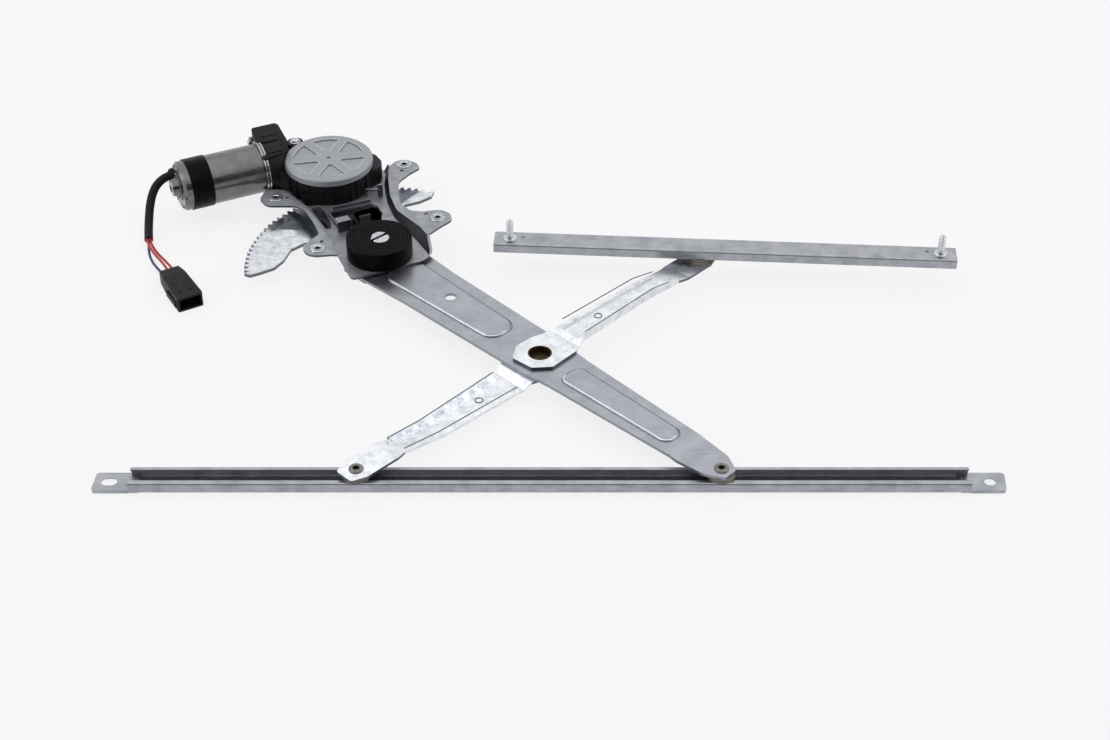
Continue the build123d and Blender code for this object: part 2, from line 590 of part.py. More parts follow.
def output_shaft():
    end = PINION_BOTTOM - 0.6
    profile = [(0, end), (PINION_SHAFT_R, end), (PINION_SHAFT_R, PINION_TOP), (OUTPUT_SHAFT_R, PINION_TOP)]
    profile += [(OUTPUT_SHAFT_R, MOTOR_AXIS_Z - WHEEL_HALF), (OUTPUT_SHAFT_R - 1, MOTOR_AXIS_Z - WHEEL_HALF)]
    profile += [(OUTPUT_SHAFT_R - 1, MOTOR_AXIS_Z + WHEEL_HALF), (0, MOTOR_AXIS_Z + WHEEL_HALF)]
    return OUTPUT * turned(profile)


def output_pinion():
    points = []
    for k in range(PINION_TEETH):
        points += tooth_points(2 * pi * k / PINION_TEETH, PINION_PITCH_R, PINION_TEETH)
    pinion = slab(Polygon(*points, align=None), PINION_BOTTOM, PINION_TOP)
    pinion -= disc(0, 0, PINION_SHAFT_R, 0, THROUGH)
    # A tooth points at the pivot, into the sector's gap.
    return OUTPUT * Rot(0, 0, -90) * pinion


# Motor: drawn can with its flange, end cap, magnets, armature and commutator.
MAGNET_WALL = 3.4
ARMATURE_R = 15.6
MAGNETS = (-112.0, -66.0)
MAGNET_SPLIT = 14.0
STACK = (-106.0, -70.0)
STACK_SLOTS = 10
ROTOR_SHAFT_R = 2.5
COMMUTATOR_R = 7.0
COMMUTATOR = (-64.0, -54.0)
WORM_HALF = 18.0
CAP_THICK = 5.0
CAP_BOSS = 6.0
CAP_BOSS_R = 8.5
BAND_WALL = 0.8


def motor_can():
    """The drawn can with the round flange and the two lugs that carry its screws."""
    can = along_motor(CAN_R, CAN_BACK, CAN_FRONT) + along_motor(FLANGE_R, CAN_FRONT, FLANGE_BACK)
    can += at_flange_lugs(LUG_R, CAN_FRONT, FLANGE_BACK)
    can -= along_motor(CAN_R - CAN_WALL, CAN_BACK - 1, FLANGE_BACK + 1)
    return can - at_flange_lugs(MOTOR_SCREW_R, CAN_FRONT - 1, FLANGE_BACK + 1)


def motor_end_cap():
    """End cap with a hollow boss outside that carries the end of the rotor's shaft."""
    bore = ROTOR_SHAFT_R + RUNNING
    face = CAN_BACK - CAP_THICK
    profile = [(bore, CAN_BACK + 3), (8, CAN_BACK + 3), (8, CAN_BACK), (CAN_R, CAN_BACK)]
    profile += [(CAN_R, face + 2.4), (CAN_R - 2.4, face), (CAP_BOSS_R, face), (CAP_BOSS_R - 1.5, face - CAP_BOSS)]
    profile += [(0, face - CAP_BOSS), (0, face + 1), (bore, face + 1)]
    cap = MOTOR * turned(profile)
    return cap - lead_hole()


def can_band():
    return along_motor(CAN_R + BAND_WALL, BAND_BACK, BAND_FRONT) - along_motor(CAN_R, CAN_BACK, CAN_FRONT)


def motor_magnets():
    """Two curved magnets inside the can, on the far and near sides of the rotor."""
    low, high = MAGNETS
    outer = CAN_R - CAN_WALL
    ring = along_motor(outer, low, high) - along_motor(outer - MAGNET_WALL, low - 1, high + 1)
    split = MOTOR * Pos(0, 0, (low + high) / 2) * Box(MAGNET_SPLIT, 3 * CAN_R, 2 * (high - low))
    return (ring - split).solids()


def rotor_shaft():
    """The shaft with its worm, whose thread is drawn as a plain bar."""
    shaft = along_motor(ROTOR_SHAFT_R, CAN_BACK - 3.5, TUNNEL_END - 5)
    return shaft + along_motor(WORM_R, -WORM_HALF, WORM_HALF)


def armature():
    low, high = STACK
    stack = along_motor(ARMATURE_R, low, high)
    for k in range(STACK_SLOTS):
        place = MOTOR * Rot(0, 0, 360 * k / STACK_SLOTS) * Pos(ARMATURE_R - 1, 0, (low + high) / 2)
        stack -= place * Box(6, 2.2, 2 * (high - low))
    return stack - along_motor(ROTOR_SHAFT_R, low - 1, high + 1)


def commutator():
    low, high = COMMUTATOR
    return along_motor(COMMUTATOR_R, low, high) - along_motor(ROTOR_SHAFT_R, low - 1, high + 1)


def brush_block():
    """The moulded terminal block that stands on the neck, behind the motor's flange."""
    return block_space(0) - along_motor(TUNNEL_R + CASE_GAP, BELL_END, TUNNEL_END)


def motor_screws():
    heads = at_flange_lugs(MOTOR_SCREW_HEAD_R, CAN_FRONT - 2.0, CAN_FRONT)
    return (heads + at_flange_lugs(MOTOR_SCREW_R, CAN_FRONT, MOTOR_SCREW_END)).solids()


def housing_screws():
    """Screws that come up through the plate into the gearbox's bosses."""
    parts = []
    for u, v, top in HOUSING_SCREWS:
        low = PLATE_BOTTOM - SCREW_HEAD
        end = screw_end(top)
        profile = [(0, low), (4, low), (SCREW_HEAD_R, PLATE_BOTTOM), (HOUSING_SCREW_R, PLATE_BOTTOM), (HOUSING_SCREW_R, end)]
        if end == top:
            # The long one is fixed by a flanged nut on its boss.
            profile += [(SCREW_HEAD_R, end), (SCREW_HEAD_R, end + SCREW_HEAD - 0.6), (SCREW_HEAD_R - 0.8, end + SCREW_HEAD)]
        profile += [(0, profile[-1][1])]
        parts.append(PLATE * Pos(u, v, 0) * turned(profile))
    return parts


# Equaliser: two pressed links clenched to a hollow bush that turns in the main arm.
LINK_TIP = [(HALF - 30, 12.4), (HALF, 12.4), (HALF + 12, 8)]
UPPER_HEAD = [(35, 13.2), (31, 15.5), (20.8, 16), (9, 19.3), (-7, 19.5), (-19.5, 10.6)]
UPPER_HEAD += [(-18, -9), (-5.6, -19.7), (20.4, -18.6), (35, -13.2)]
LOWER_HEAD = [(34, 14.5), (22, 19), (-9, 19), (-19, 9), (-19, -9), (-9, -19), (22, -18.5), (34, -14.5)]
HEAD_END = 27.0
RAMP = 6.0
BEAM_END = HALF - 78
BEAM_DOWN = HALF - 28
FLANGE_FROM = 35.0
FLANGE_TO = HALF - 39
UPPER_HALVES = (13.2, 10.8)
LOWER_HALVES = (14.2, 9.8)
UPPER_FLANGE = (7.4, 4.6)
LOWER_FLANGE = (6.9, 5.0)
BUSH_FLOOR = 1.4


def link(head_plan, halves, head_bottom, beam_bottom, end_bottom, flange):
    """A pressed link: flat head, ramp to the beam, ramp to the flat end, two flanges."""
    line = [(-30, head_bottom), (HEAD_END, head_bottom), (HEAD_END + RAMP, beam_bottom), (BEAM_END, beam_bottom)]
    line += [(BEAM_DOWN, end_bottom), (HALF + 30, end_bottom)]
    near, far = halves
    tip = [(FLANGE_TO, far)] + LINK_TIP
    plan = head_plan + [(x, -y) for x, y in tip] + tip[::-1]
    piece = strip(line, EQ_SHEET, 40) & slab(outline(plan, 3), 0, THROUGH)
    start_h, end_h = flange
    foot = EQ_SHEET / 4
    last = beam_bottom + (end_bottom - beam_bottom) * (FLANGE_TO - BEAM_END) / (BEAM_DOWN - BEAM_END)
    side = [(FLANGE_FROM, beam_bottom + foot), (BEAM_END, beam_bottom + foot), (FLANGE_TO, last + foot)]
    side += [(FLANGE_TO, last + end_h), (BEAM_END + 6, beam_bottom + start_h), (FLANGE_FROM + 3, beam_bottom + start_h)]
    wall = extrude(Plane.XZ * Polygon(*side, align=None), amount=40, both=True)
    for s in (1, -1):
        lane = [(FLANGE_FROM, s * near), (FLANGE_TO, s * far), (FLANGE_TO, s * (far - EQ_SHEET))]
        lane += [(FLANGE_FROM, s * (near - EQ_SHEET))]
        piece += wall & slab(Polygon(*lane, align=None), 0, THROUGH)
    return piece - disc(0, 0, BUSH_NECK_R, 0, THROUGH) - disc(HALF, 0, PIN_R, 0, THROUGH)


def equalizer_upper():
    head = ARM_TOP + STACK_PLAY
    beam = ARM_TOP + EMBOSS + 2 * STACK_PLAY
    return UPPER_HALF * link(UPPER_HEAD, UPPER_HALVES, head, beam, DOOR_END_TOP - EQ_SHEET, UPPER_FLANGE)


def equalizer_lower():
    head = ARM_BOTTOM - STACK_PLAY - EQ_SHEET
    beam = ARM_BOTTOM - 2 * STACK_PLAY - LOWER_FLANGE[0]
    return LOWER_HALF * link(LOWER_HEAD, LOWER_HALVES, head, beam, END_BOTTOM, LOWER_FLANGE)


def centre_bush():
    low = ARM_BOTTOM - STACK_PLAY
    high = ARM_TOP + STACK_PLAY
    foot = low - EQ_SHEET
    rim = high + EQ_SHEET
    profile = [(0, foot), (BUSH_NECK_R, foot), (BUSH_NECK_R, low), (BUSH_R, low), (BUSH_R, high)]
    profile += [(BUSH_NECK_R, high), (BUSH_NECK_R, rim), (BUSH_INNER_R, rim)]
    profile += [(BUSH_INNER_R, foot + BUSH_FLOOR), (0, foot + BUSH_FLOOR)]
    return UPPER_HALF * turned(profile)


# Shoes and pins: each nylon shoe runs in a rail and turns on a shouldered pin.
DISC_R = GLASS_RAIL_WIDTH / 2 - RAIL_WALL - SHOE_SIDE_GAP
NECK_R = RAIL_GAP / 2 - SHOE_SIDE_GAP


def shoe(place, face, up):
    """A grooved shoe. face is the height of the link's face that it lies against."""
    reach = SHOE_GAP + SHOE_FLANGE
    lip = reach + SHOE_GAP + RAIL_WALL + SHOE_SIDE_GAP
    end = reach + SHOE_GAP + RAIL_HEIGHT - RAIL_WALL - SHOE_SIDE_GAP
    bore = PIN_R - 1 + RUNNING
    groove = SHOE_FLANGE_R - 0.9
    profile = [(bore, SHOE_GAP), (SHOE_FLANGE_R, SHOE_GAP), (SHOE_FLANGE_R, 1.4), (groove, 1.8), (groove, 2.3)]
    profile += [(SHOE_FLANGE_R, 2.7), (SHOE_FLANGE_R, reach), (NECK_R, reach), (NECK_R, lip), (DISC_R, lip)]
    profile += [(DISC_R, end), (PIN_HEAD_R + 0.3, end), (PIN_HEAD_R + 0.3, end - 2), (bore, end - 2)]
    sign = 1 if up else -1
    return Pos(place[0], place[1], face) * turned([(r, sign * z) for r, z in profile])


def roller_pin(place, face, sheet, up):
    """A pin headed over the link, with its foot spread inside the shoe."""
    end = 2 * SHOE_GAP + SHOE_FLANGE + RAIL_HEIGHT - RAIL_WALL - SHOE_SIDE_GAP
    thin = PIN_R - 1
    profile = [(0, -sheet - PIN_HEAD), (PIN_HEAD_R - 1.2, -sheet - PIN_HEAD), (PIN_HEAD_R, -sheet - 0.5)]
    profile += [(PIN_HEAD_R, -sheet), (PIN_R, -sheet), (PIN_R, 0), (thin, 0), (thin, end - 1.9)]
    profile += [(PIN_HEAD_R - 0.3, end - 1.9), (PIN_HEAD_R - 0.3, end - 0.4), (0, end - 0.4)]
    sign = 1 if up else -1
    return Pos(place[0], place[1], face) * turned([(r, sign * z) for r, z in profile])


# Rails.
def channel(start, end):
    """Rolled channel along X from start to end, open upwards, with turned-in lips."""
    half = GLASS_RAIL_WIDTH / 2
    outer = Pos(0, RAIL_HEIGHT / 2) * RectangleRounded(GLASS_RAIL_WIDTH, RAIL_HEIGHT, 1.8)
    inner_h = RAIL_HEIGHT - 2 * RAIL_WALL
    inner = Pos(0, RAIL_HEIGHT / 2) * RectangleRounded(2 * (half - RAIL_WALL), inner_h, 0.7)
    mouth = Pos(0, RAIL_HEIGHT) * Rectangle(RAIL_GAP, 2 * RAIL_WALL + 1)
    section = outer - inner - mouth
    return Pos(start, 0, 0) * extrude(Plane.YZ * section, amount=end - start)


def rail_tab(hole):
    """A flattened rail end with turned-down edges, reaching along -X from zero."""
    half = GLASS_RAIL_WIDTH / 2
    plan = outline([(0, -half), (-TAB_LENGTH, -half), (-TAB_LENGTH + 1.5, half), (0, half)], [0.5, 3, 3, 0.5])
    under = Pos(-TAB_LENGTH / 2, 0, 0) * Box(2 * TAB_LENGTH, 2 * (half - RAIL_WALL), 2 * (TAB_TOP - RAIL_WALL))
    tab = slab(plan, 0, TAB_TOP) - under
    neck = Pos(3, 0, TAB_TOP / 2) * Box(8, GLASS_RAIL_WIDTH - 1, TAB_TOP)
    return tab + neck - Pos(-TAB_LENGTH + TAB_HOLE_INSET, 0, 0) * hole


def lower_rail():
    left = -GLASS_RAIL_LEFT + TAB_LENGTH
    right = GLASS_RAIL_LENGTH - GLASS_RAIL_LEFT - TAB_LENGTH
    rail = channel(left, right)
    slot = slab(SlotOverall(TAB_SLOT_LENGTH, 2 * TAB_BOLT_HOLE_R), 0, TAB_TOP + 1)
    rail += Pos(left, 0, 0) * rail_tab(slot)
    rail += Pos(right, 0, 0) * Rot(0, 0, 180) * rail_tab(Cylinder(TAB_BOLT_HOLE_R, 4 * TAB_TOP))
    return GLASS * rail


def stud_places():
    return [-DOOR_RAIL_LEFT + STUD_INSET, DOOR_RAIL_LENGTH - DOOR_RAIL_LEFT - STUD_INSET]


def upper_rail():
    top = DOOR_RAIL_BOTTOM + RAIL_HEIGHT
    rail = Pos(0, 0, top) * Rot(180, 0, 0) * channel(-DOOR_RAIL_LEFT, DOOR_RAIL_LENGTH - DOOR_RAIL_LEFT)
    for x in stud_places():
        rail -= disc(x, 0, STUD_R, 0, THROUGH)
        inward = TACK_HOLE_STEP if x < 0 else -TACK_HOLE_STEP
        rail -= disc(x + inward, 2, TACK_HOLE_R, top - 2 * RAIL_WALL, top + 1)
    return DOOR * rail


def upper_rail_studs():
    top = DOOR_RAIL_BOTTOM + RAIL_HEIGHT
    under = top - RAIL_WALL
    profile = [(0, under - 2), (STUD_COLLAR_R, under - 2), (STUD_COLLAR_R, under), (STUD_R, under), (STUD_R, top)]
    profile += [(STUD_COLLAR_R, top), (STUD_COLLAR_R, top + 0.5), (STUD_COLLAR_R - 1.5, top + STUD_COLLAR)]
    profile += [(STUD_R, top + STUD_COLLAR), (STUD_R, top + STUD_LENGTH - 1), (STUD_R - 1, top + STUD_LENGTH)]
    profile += [(0, top + STUD_LENGTH)]
    return [DOOR * Pos(x, 0, 0) * turned(profile) for x in stud_places()]


# Lead: the sleeve leaves a grommet in the end cap, drops to the floor and ends open;
# three wires run on from it to the connector.
LEAD_EXIT_V = 168.0
LEAD_EXIT_Z = 36.0
GROMMET_R = SLEEVE_R + 0.8
SLEEVE_INSET = 1.0
SLEEVE_STRAIGHT = 10.0
SLEEVE_FALL = [(-199.0, 91.0, 31.2), (-203.0, 84.0, 24.6), (-204.5, 75.6, 17.0), (-204.6, 66.6, 10.2)]
SLEEVE_FALL += [(-203.9, 56.6, 5.6), (-202.0, 44.6, 4.1)]
RED_ROUTE = [(-200.9, 44.0, 5.3), (-198.0, 35.6, 4.6), (-190.6, 22.6, 4.2), (-180.0, 7.2, 5.6), (-171.9, -6.6, 6.5)]
PALE_ROUTE = [(-203.3, 44.0, 5.2), (-200.6, 34.6, 4.8), (-194.3, 21.0, 4.6), (-184.0, 5.0, 5.8), (-175.8, -8.8, 6.5)]
BLUE_ROUTE = [(-202.1, 44.0, 2.6), (-200.8, 33.2, 1.9), (-196.2, 17.5, 1.9), (-188.0, 1.0, 4.4), (-180.2, -11.2, 6.0)]
CONNECTOR = Pos(CONNECTOR_BACK[0], CONNECTOR_BACK[1], 0) * Rot(0, 0, CONNECTOR_ANGLE)


def lead_hole():
    return PLATE * Pos(CAN_BACK, LEAD_EXIT_V, LEAD_EXIT_Z) * Rot(0, 90, 0) * Cylinder(GROMMET_R, 4 * CAP_THICK)


def lead_grommet():
    plug = Cylinder(GROMMET_R, CAP_THICK) - Cylinder(SLEEVE_R + RUNNING, 2 * CAP_THICK)
    return PLATE * Pos(CAN_BACK - CAP_THICK / 2, LEAD_EXIT_V, LEAD_EXIT_Z) * Rot(0, 90, 0) * plug


def lead_exit(u):
    """The point on the lead's axis at a place along the motor."""
    return (PLATE * Pos(u, LEAD_EXIT_V, LEAD_EXIT_Z)).position


def sleeve_route():
    return [lead_exit(CAN_BACK - SLEEVE_INSET), lead_exit(CAN_BACK - SLEEVE_STRAIGHT)] + SLEEVE_FALL


def cord(route, radius, name):
    """A round cord along straight runs joined by arcs as large as the runs allow."""
    points = [Vector(p) for p in route]
    radii = []
    for before, here, after in zip(points, points[1:], points[2:]):
        turn = radians((here - before).get_angle(after - here))
        shorter = min((here - before).length, (after - here).length)
        radii.append(0.45 * shorter / tan(turn / 2))
    path = FilletPolyline(*points, radius=radii)
    print(name, "length", round(path.length, 1), "radii", [round(r, 1) for r in radii])
    start = Plane(origin=points[0], z_dir=points[1] - points[0])
    return sweep(start * Circle(radius), path=path)


def connector_body():
    """Moulded plug housing with a wider collar, an open mouth, side rails and ribs."""
    half = CONNECTOR_WIDTH / 2
    side = [(0, half - 1.5), (14, half), (CONNECTOR_LENGTH, half + 1)]
    plan = side + [(x, -y) for x, y in reversed(side)]
    body = slab(outline(plan, [1, 4, 1.5, 1.5, 4, 1]), 0, CONNECTOR_HEIGHT)
    body -= Pos(0, 0, CONNECTOR_HEIGHT) * Rot(0, -8, 0) * Box(30, 2 * CONNECTOR_WIDTH, 3)
    middle = CONNECTOR_HEIGHT / 2
    body += Pos(24, half, middle) * Box(20, 2.4, 6) + Pos(33, -half - 0.4, middle - 2) * Box(20, 3, 5)
    for y in (-RIB_SPREAD, RIB_SPREAD):
        body += Pos(30, y, CONNECTOR_HEIGHT - 0.3) * Box(18, 1.6, 1.4)
    return CONNECTOR * (body - mouth_space(MOUTH_DEPTH))


def mouth_space(depth):
    """The plug's mouth, from its open end inwards."""
    wide, high = CONNECTOR_WIDTH - 2, CONNECTOR_HEIGHT - 2 * MOUTH_WALL
    return Pos(CONNECTOR_LENGTH - depth / 2, 0, CONNECTOR_HEIGHT / 2) * Box(depth, wide, high)


def connector_core():
    """The block at the back of the mouth, with a slot for each of three terminals."""
    core = mouth_space(MOUTH_DEPTH) - mouth_space(MOUTH_DEPTH - CORE_THICK)
    for y in (-TERMINAL_PITCH, 0, TERMINAL_PITCH):
        core -= Pos(CONNECTOR_LENGTH - MOUTH_DEPTH + CORE_THICK, y, CONNECTOR_HEIGHT / 2) * Box(6, 2.6, 3)
    return CONNECTOR * core


parts = {
    "base_plate": base_plate(),
    "weld_nuts": weld_nuts(),
    "pivot_bush": pivot_bush(),
    "clock_spring": clock_spring(),
    "gear_housing": gear_housing(),
    "gear_cover": gear_cover(),
    "brush_block": brush_block(),
    "motor_can": motor_can(),
    "motor_end_cap": motor_end_cap(),
    "can_band": can_band(),
    "motor_magnets": motor_magnets(),
    "motor_screws": motor_screws(),
    "housing_screws": housing_screws(),
    "lead_grommet": lead_grommet(),
    "lead_sleeve": cord(sleeve_route(), SLEEVE_R, "sleeve"),
    "wire_red": cord(RED_ROUTE, WIRE_R, "red wire"),
    "wire_pink": cord(PALE_ROUTE, WIRE_R, "pink wire"),
    "wire_blue": cord(BLUE_ROUTE, WIRE_R, "blue wire"),
    "connector_body": connector_body(),
    "connector_core": connector_core(),
    "drive_gear": drive_gear(),
    "output_shaft": output_shaft(),
    "output_pinion": output_pinion(),
    "rotor_shaft": rotor_shaft(),
    "armature": armature(),
    "commutator": commutator(),
    "main_arm": main_arm(),
    "sector_gear": sector_gear(),
    "sector_rivets": sector_rivets(),
    "pivot_shaft": pivot_shaft(),
    "pivot_washer": pivot_washer(),
    "pin_b": roller_pin(B, END_BOTTOM, ARM_SHEET, False),
    "shoe_b": shoe(B, END_BOTTOM, False),
    "equalizer_upper": equalizer_upper(),
    "equalizer_lower": equalizer_lower(),
    "centre_bush": centre_bush(),
    "pin_d": roller_pin(D, DOOR_END_TOP, EQ_SHEET, True),
    "shoe_d": shoe(D, DOOR_END_TOP, True),
    "pin_e": roller_pin(E, END_BOTTOM, EQ_SHEET, False),
    "shoe_e": shoe(E, END_BOTTOM, False),
    "lower_rail": lower_rail(),
    "upper_rail": upper_rail(),
    "upper_rail_studs": upper_rail_studs(),
}

os.makedirs("parts", exist_ok=True)
for name, shape in parts.items():
    pieces = shape if isinstance(shape, list) else [shape]
    solids = [solid for piece in pieces for solid in piece.solids()]
    piece = solids[0] if len(solids) == 1 else Compound(children=solids)
    export_step(piece, f"parts/{name}.step")
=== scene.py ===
import bmesh
import bpy
from math import asin, cos, pi, radians, sin
from mathutils import Matrix, Vector


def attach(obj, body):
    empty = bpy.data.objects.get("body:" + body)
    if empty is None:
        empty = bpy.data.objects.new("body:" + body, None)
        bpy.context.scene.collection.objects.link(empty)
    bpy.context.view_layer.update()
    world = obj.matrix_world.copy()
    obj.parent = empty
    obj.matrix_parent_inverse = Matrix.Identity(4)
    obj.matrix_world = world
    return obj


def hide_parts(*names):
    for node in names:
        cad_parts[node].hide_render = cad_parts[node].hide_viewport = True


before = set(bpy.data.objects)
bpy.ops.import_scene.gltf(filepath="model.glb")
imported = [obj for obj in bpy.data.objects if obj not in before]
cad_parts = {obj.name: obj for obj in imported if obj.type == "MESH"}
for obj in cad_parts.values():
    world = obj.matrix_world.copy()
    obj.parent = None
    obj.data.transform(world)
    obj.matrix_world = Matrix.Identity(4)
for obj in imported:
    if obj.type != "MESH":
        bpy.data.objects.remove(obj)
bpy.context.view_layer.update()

# Cross-arm power window regulator for a car door, lying on its face side.
# The frame is the CAD's: X along the glass rail, Y towards the motor, Z up, with the
# origin on the main pivot's axis, level with the underside of the glass rail.

# Photograph's viewpoint: a product shot from the front and well above, with a
# moderate lens that looks straight across the glass rail.
CAMERA_AT = (0.14474, -1.41199, 0.97413)
CAMERA_DOWN = 37.3
CAMERA_LENS = 66.36

camera_data = bpy.data.cameras.new("camera")
camera_data.lens = CAMERA_LENS
camera_data.sensor_width = 36.0
camera = bpy.data.objects.new("camera", camera_data)
camera.location = CAMERA_AT
camera.rotation_euler = (radians(90 - CAMERA_DOWN), 0, 0)
bpy.context.scene.collection.objects.link(camera)
bpy.context.scene.camera = camera
bpy.context.scene.view_settings.view_transform = "Standard"

# Table: a matt white sheet that the part lies on. The camera and the metal see it
# nearly white, and it keeps the part's soft shadow.
FLOOR_SIZE = 16000.0
FLOOR_DROP = 0.2
FLOOR_WHITE = 0.8
STAGE_MIDDLE_X = 0.14


def linear(code):
    """An sRGB hex colour as linear red, green, blue and alpha."""
    parts = [int(code[i:i + 2], 16) / 255 for i in (1, 3, 5)]
    return tuple(c / 12.92 if c <= 0.04045 else ((c + 0.055) / 1.055) ** 2.4 for c in parts) + (1.0,)


def add_node(tree, kind, settings=None, values=None, links=None):
    """Adds a node, sets its settings and socket values, and joins its inputs."""
    node = tree.nodes.new(kind)
    for key, value in (settings or {}).items():
        setattr(node, key, value)
    for key, value in (values or {}).items():
        node.inputs[key].default_value = value
    for key, source in (links or {}).items():
        tree.links.new(source, node.inputs[key])
    return node


def new_material(name, roughness, metallic=0.0):
    """A node material with its principled shader joined to its output."""
    material = bpy.data.materials.new(name)
    material.use_nodes = True
    tree = material.node_tree
    tree.nodes.clear()
    shader = add_node(tree, "ShaderNodeBsdfPrincipled",
                      values={"Roughness": roughness, "Metallic": metallic})
    add_node(tree, "ShaderNodeOutputMaterial", links={"Surface": shader.outputs["BSDF"]})
    return material, tree, shader


def seen_directly(tree, share):
    """A factor for what the camera, metal and glass see, and 0 for the light on the part."""
    path = add_node(tree, "ShaderNodeLightPath")
    either = add_node(tree, "ShaderNodeMath", {"operation": "MAXIMUM"},
                      links={0: path.outputs["Is Camera Ray"], 1: path.outputs["Is Glossy Ray"]})
    every = add_node(tree, "ShaderNodeMath", {"operation": "MAXIMUM"},
                     links={0: either.outputs[0], 1: path.outputs["Is Transmission Ray"]})
    factor = add_node(tree, "ShaderNodeMath", {"operation": "MULTIPLY"}, {1: share}, {0: every.outputs[0]})
    return factor.outputs[0]


floor_form = bmesh.new()
bmesh.ops.create_grid(floor_form, x_segments=1, y_segments=1, size=FLOOR_SIZE / 2000)
bmesh.ops.translate(floor_form, vec=(STAGE_MIDDLE_X, 0, -FLOOR_DROP / 1000), verts=floor_form.verts)
floor_mesh = bpy.data.meshes.new("floor")
floor_form.to_mesh(floor_mesh)
floor_form.free()
floor = bpy.data.objects.new("floor", floor_mesh)
bpy.context.scene.collection.objects.link(floor)
paper, tree, shader = new_material("matt_white_paper", 0.9)
shader.inputs["Base Color"].default_value = linear("#f6f6f8")
shader.inputs["Specular IOR Level"].default_value = 0.1
tree.nodes.remove([node for node in tree.nodes if node.type == "OUTPUT_MATERIAL"][0])
glow = add_node(tree, "ShaderNodeEmission", values={"Color": linear("#ffffff"), "Strength": 1.0})
mixed = add_node(tree, "ShaderNodeMixShader",
                 links={0: seen_directly(tree, FLOOR_WHITE), 1: shader.outputs["BSDF"], 2: glow.outputs[0]})
add_node(tree, "ShaderNodeOutputMaterial", links={"Surface": mixed.outputs[0]})
floor_mesh.materials.append(paper)

# Studio: an even white room, a large soft box overhead, a weak one on each side and a
# dark card behind the camera, which gives metal that faces the front its dark bands.
ROOM_LIGHT = 0.75

world = bpy.data.worlds.new("studio")
world.use_nodes = True
bpy.context.scene.world = world
tree = world.node_tree
tree.nodes.clear()
lit = add_node(tree, "ShaderNodeBackground", values={"Color": linear("#eef0f6"), "Strength": ROOM_LIGHT})
white = add_node(tree, "ShaderNodeBackground", values={"Color": linear("#ffffff"), "Strength": 1.0})
mixed = add_node(tree, "ShaderNodeMixShader",
                 links={0: seen_directly(tree, 1.0), 1: lit.outputs[0], 2: white.outputs[0]})
add_node(tree, "ShaderNodeOutputWorld", links={"Surface": mixed.outputs[0]})

# Name, place, size and power of each soft box, which all face the part's middle.
SOFT_BOXES = [
    ("soft_box_above", (0.25, 0.35, 2.0), 3.2, 6.0),
    ("soft_box_left", (-1.7, -0.4, 1.1), 1.0, 3.5),
    ("soft_box_right", (2.0, -0.3, 1.1), 1.0, 3.0),
]
PART_MIDDLE = Vector((0.12, -0.08, 0.0))
for name, place, size, power in SOFT_BOXES:
    lamp_data = bpy.data.lights.new(name, "AREA")
    lamp_data.shape = "DISK"
    lamp_data.size = size
    lamp_data.energy = power
    lamp = bpy.data.objects.new(name, lamp_data)
    lamp.location = place
    lamp.rotation_euler = (PART_MIDDLE - Vector(place)).to_track_quat("-Z", "Y").to_euler()
    bpy.context.scene.collection.objects.link(lamp)

CARD_WIDE = 3.4
CARD_LOW = 0.16
CARD_HIGH = 1.75
CARD_BACK = -1.9
card_form = bmesh.new()
bmesh.ops.create_grid(card_form, x_segments=1, y_segments=1, size=0.5)
bmesh.ops.scale(card_form, vec=(CARD_WIDE, CARD_HIGH - CARD_LOW, 1), verts=card_form.verts)
upright = Matrix.Rotation(radians(90), 3, "X")
card_middle = (STAGE_MIDDLE_X, CARD_BACK, (CARD_LOW + CARD_HIGH) / 2)
bmesh.ops.rotate(card_form, cent=(0, 0, 0), matrix=upright, verts=card_form.verts)
bmesh.ops.translate(card_form, vec=card_middle, verts=card_form.verts)
card_mesh = bpy.data.meshes.new("dark_card")
card_form.to_mesh(card_mesh)
card_form.free()
card = bpy.data.objects.new("dark_card", card_mesh)
bpy.context.scene.collection.objects.link(card)
card.visible_camera = False
flock, tree, shader = new_material("dark_flock_card", 0.95)
shader.inputs["Base Color"].default_value = linear("#26262a")
card_mesh.materials.append(flock)

# Base plate: a pan pressed from 1.8 mm steel strip, zinc plated and passivated. That
# gives a satin mid grey with cloudy patches and fine lines from the rolling mill. The
# passivation's film scatters part of the light, so it mirrors less than bare zinc.

# How upright a face's normal is: less than this on sheared edges, and within a reach of
# the middle on leaning walls, which are painted darker as shade.
EDGE_UPRIGHT = 0.25
WALL_UPRIGHT = 0.59
WALL_REACH = 0.34
# Faces that meet at less than the first angle are shaded smooth, and edges sharper than
# the second are rounded.
SMOOTH_BELOW = 35
ROUND_ABOVE = 40


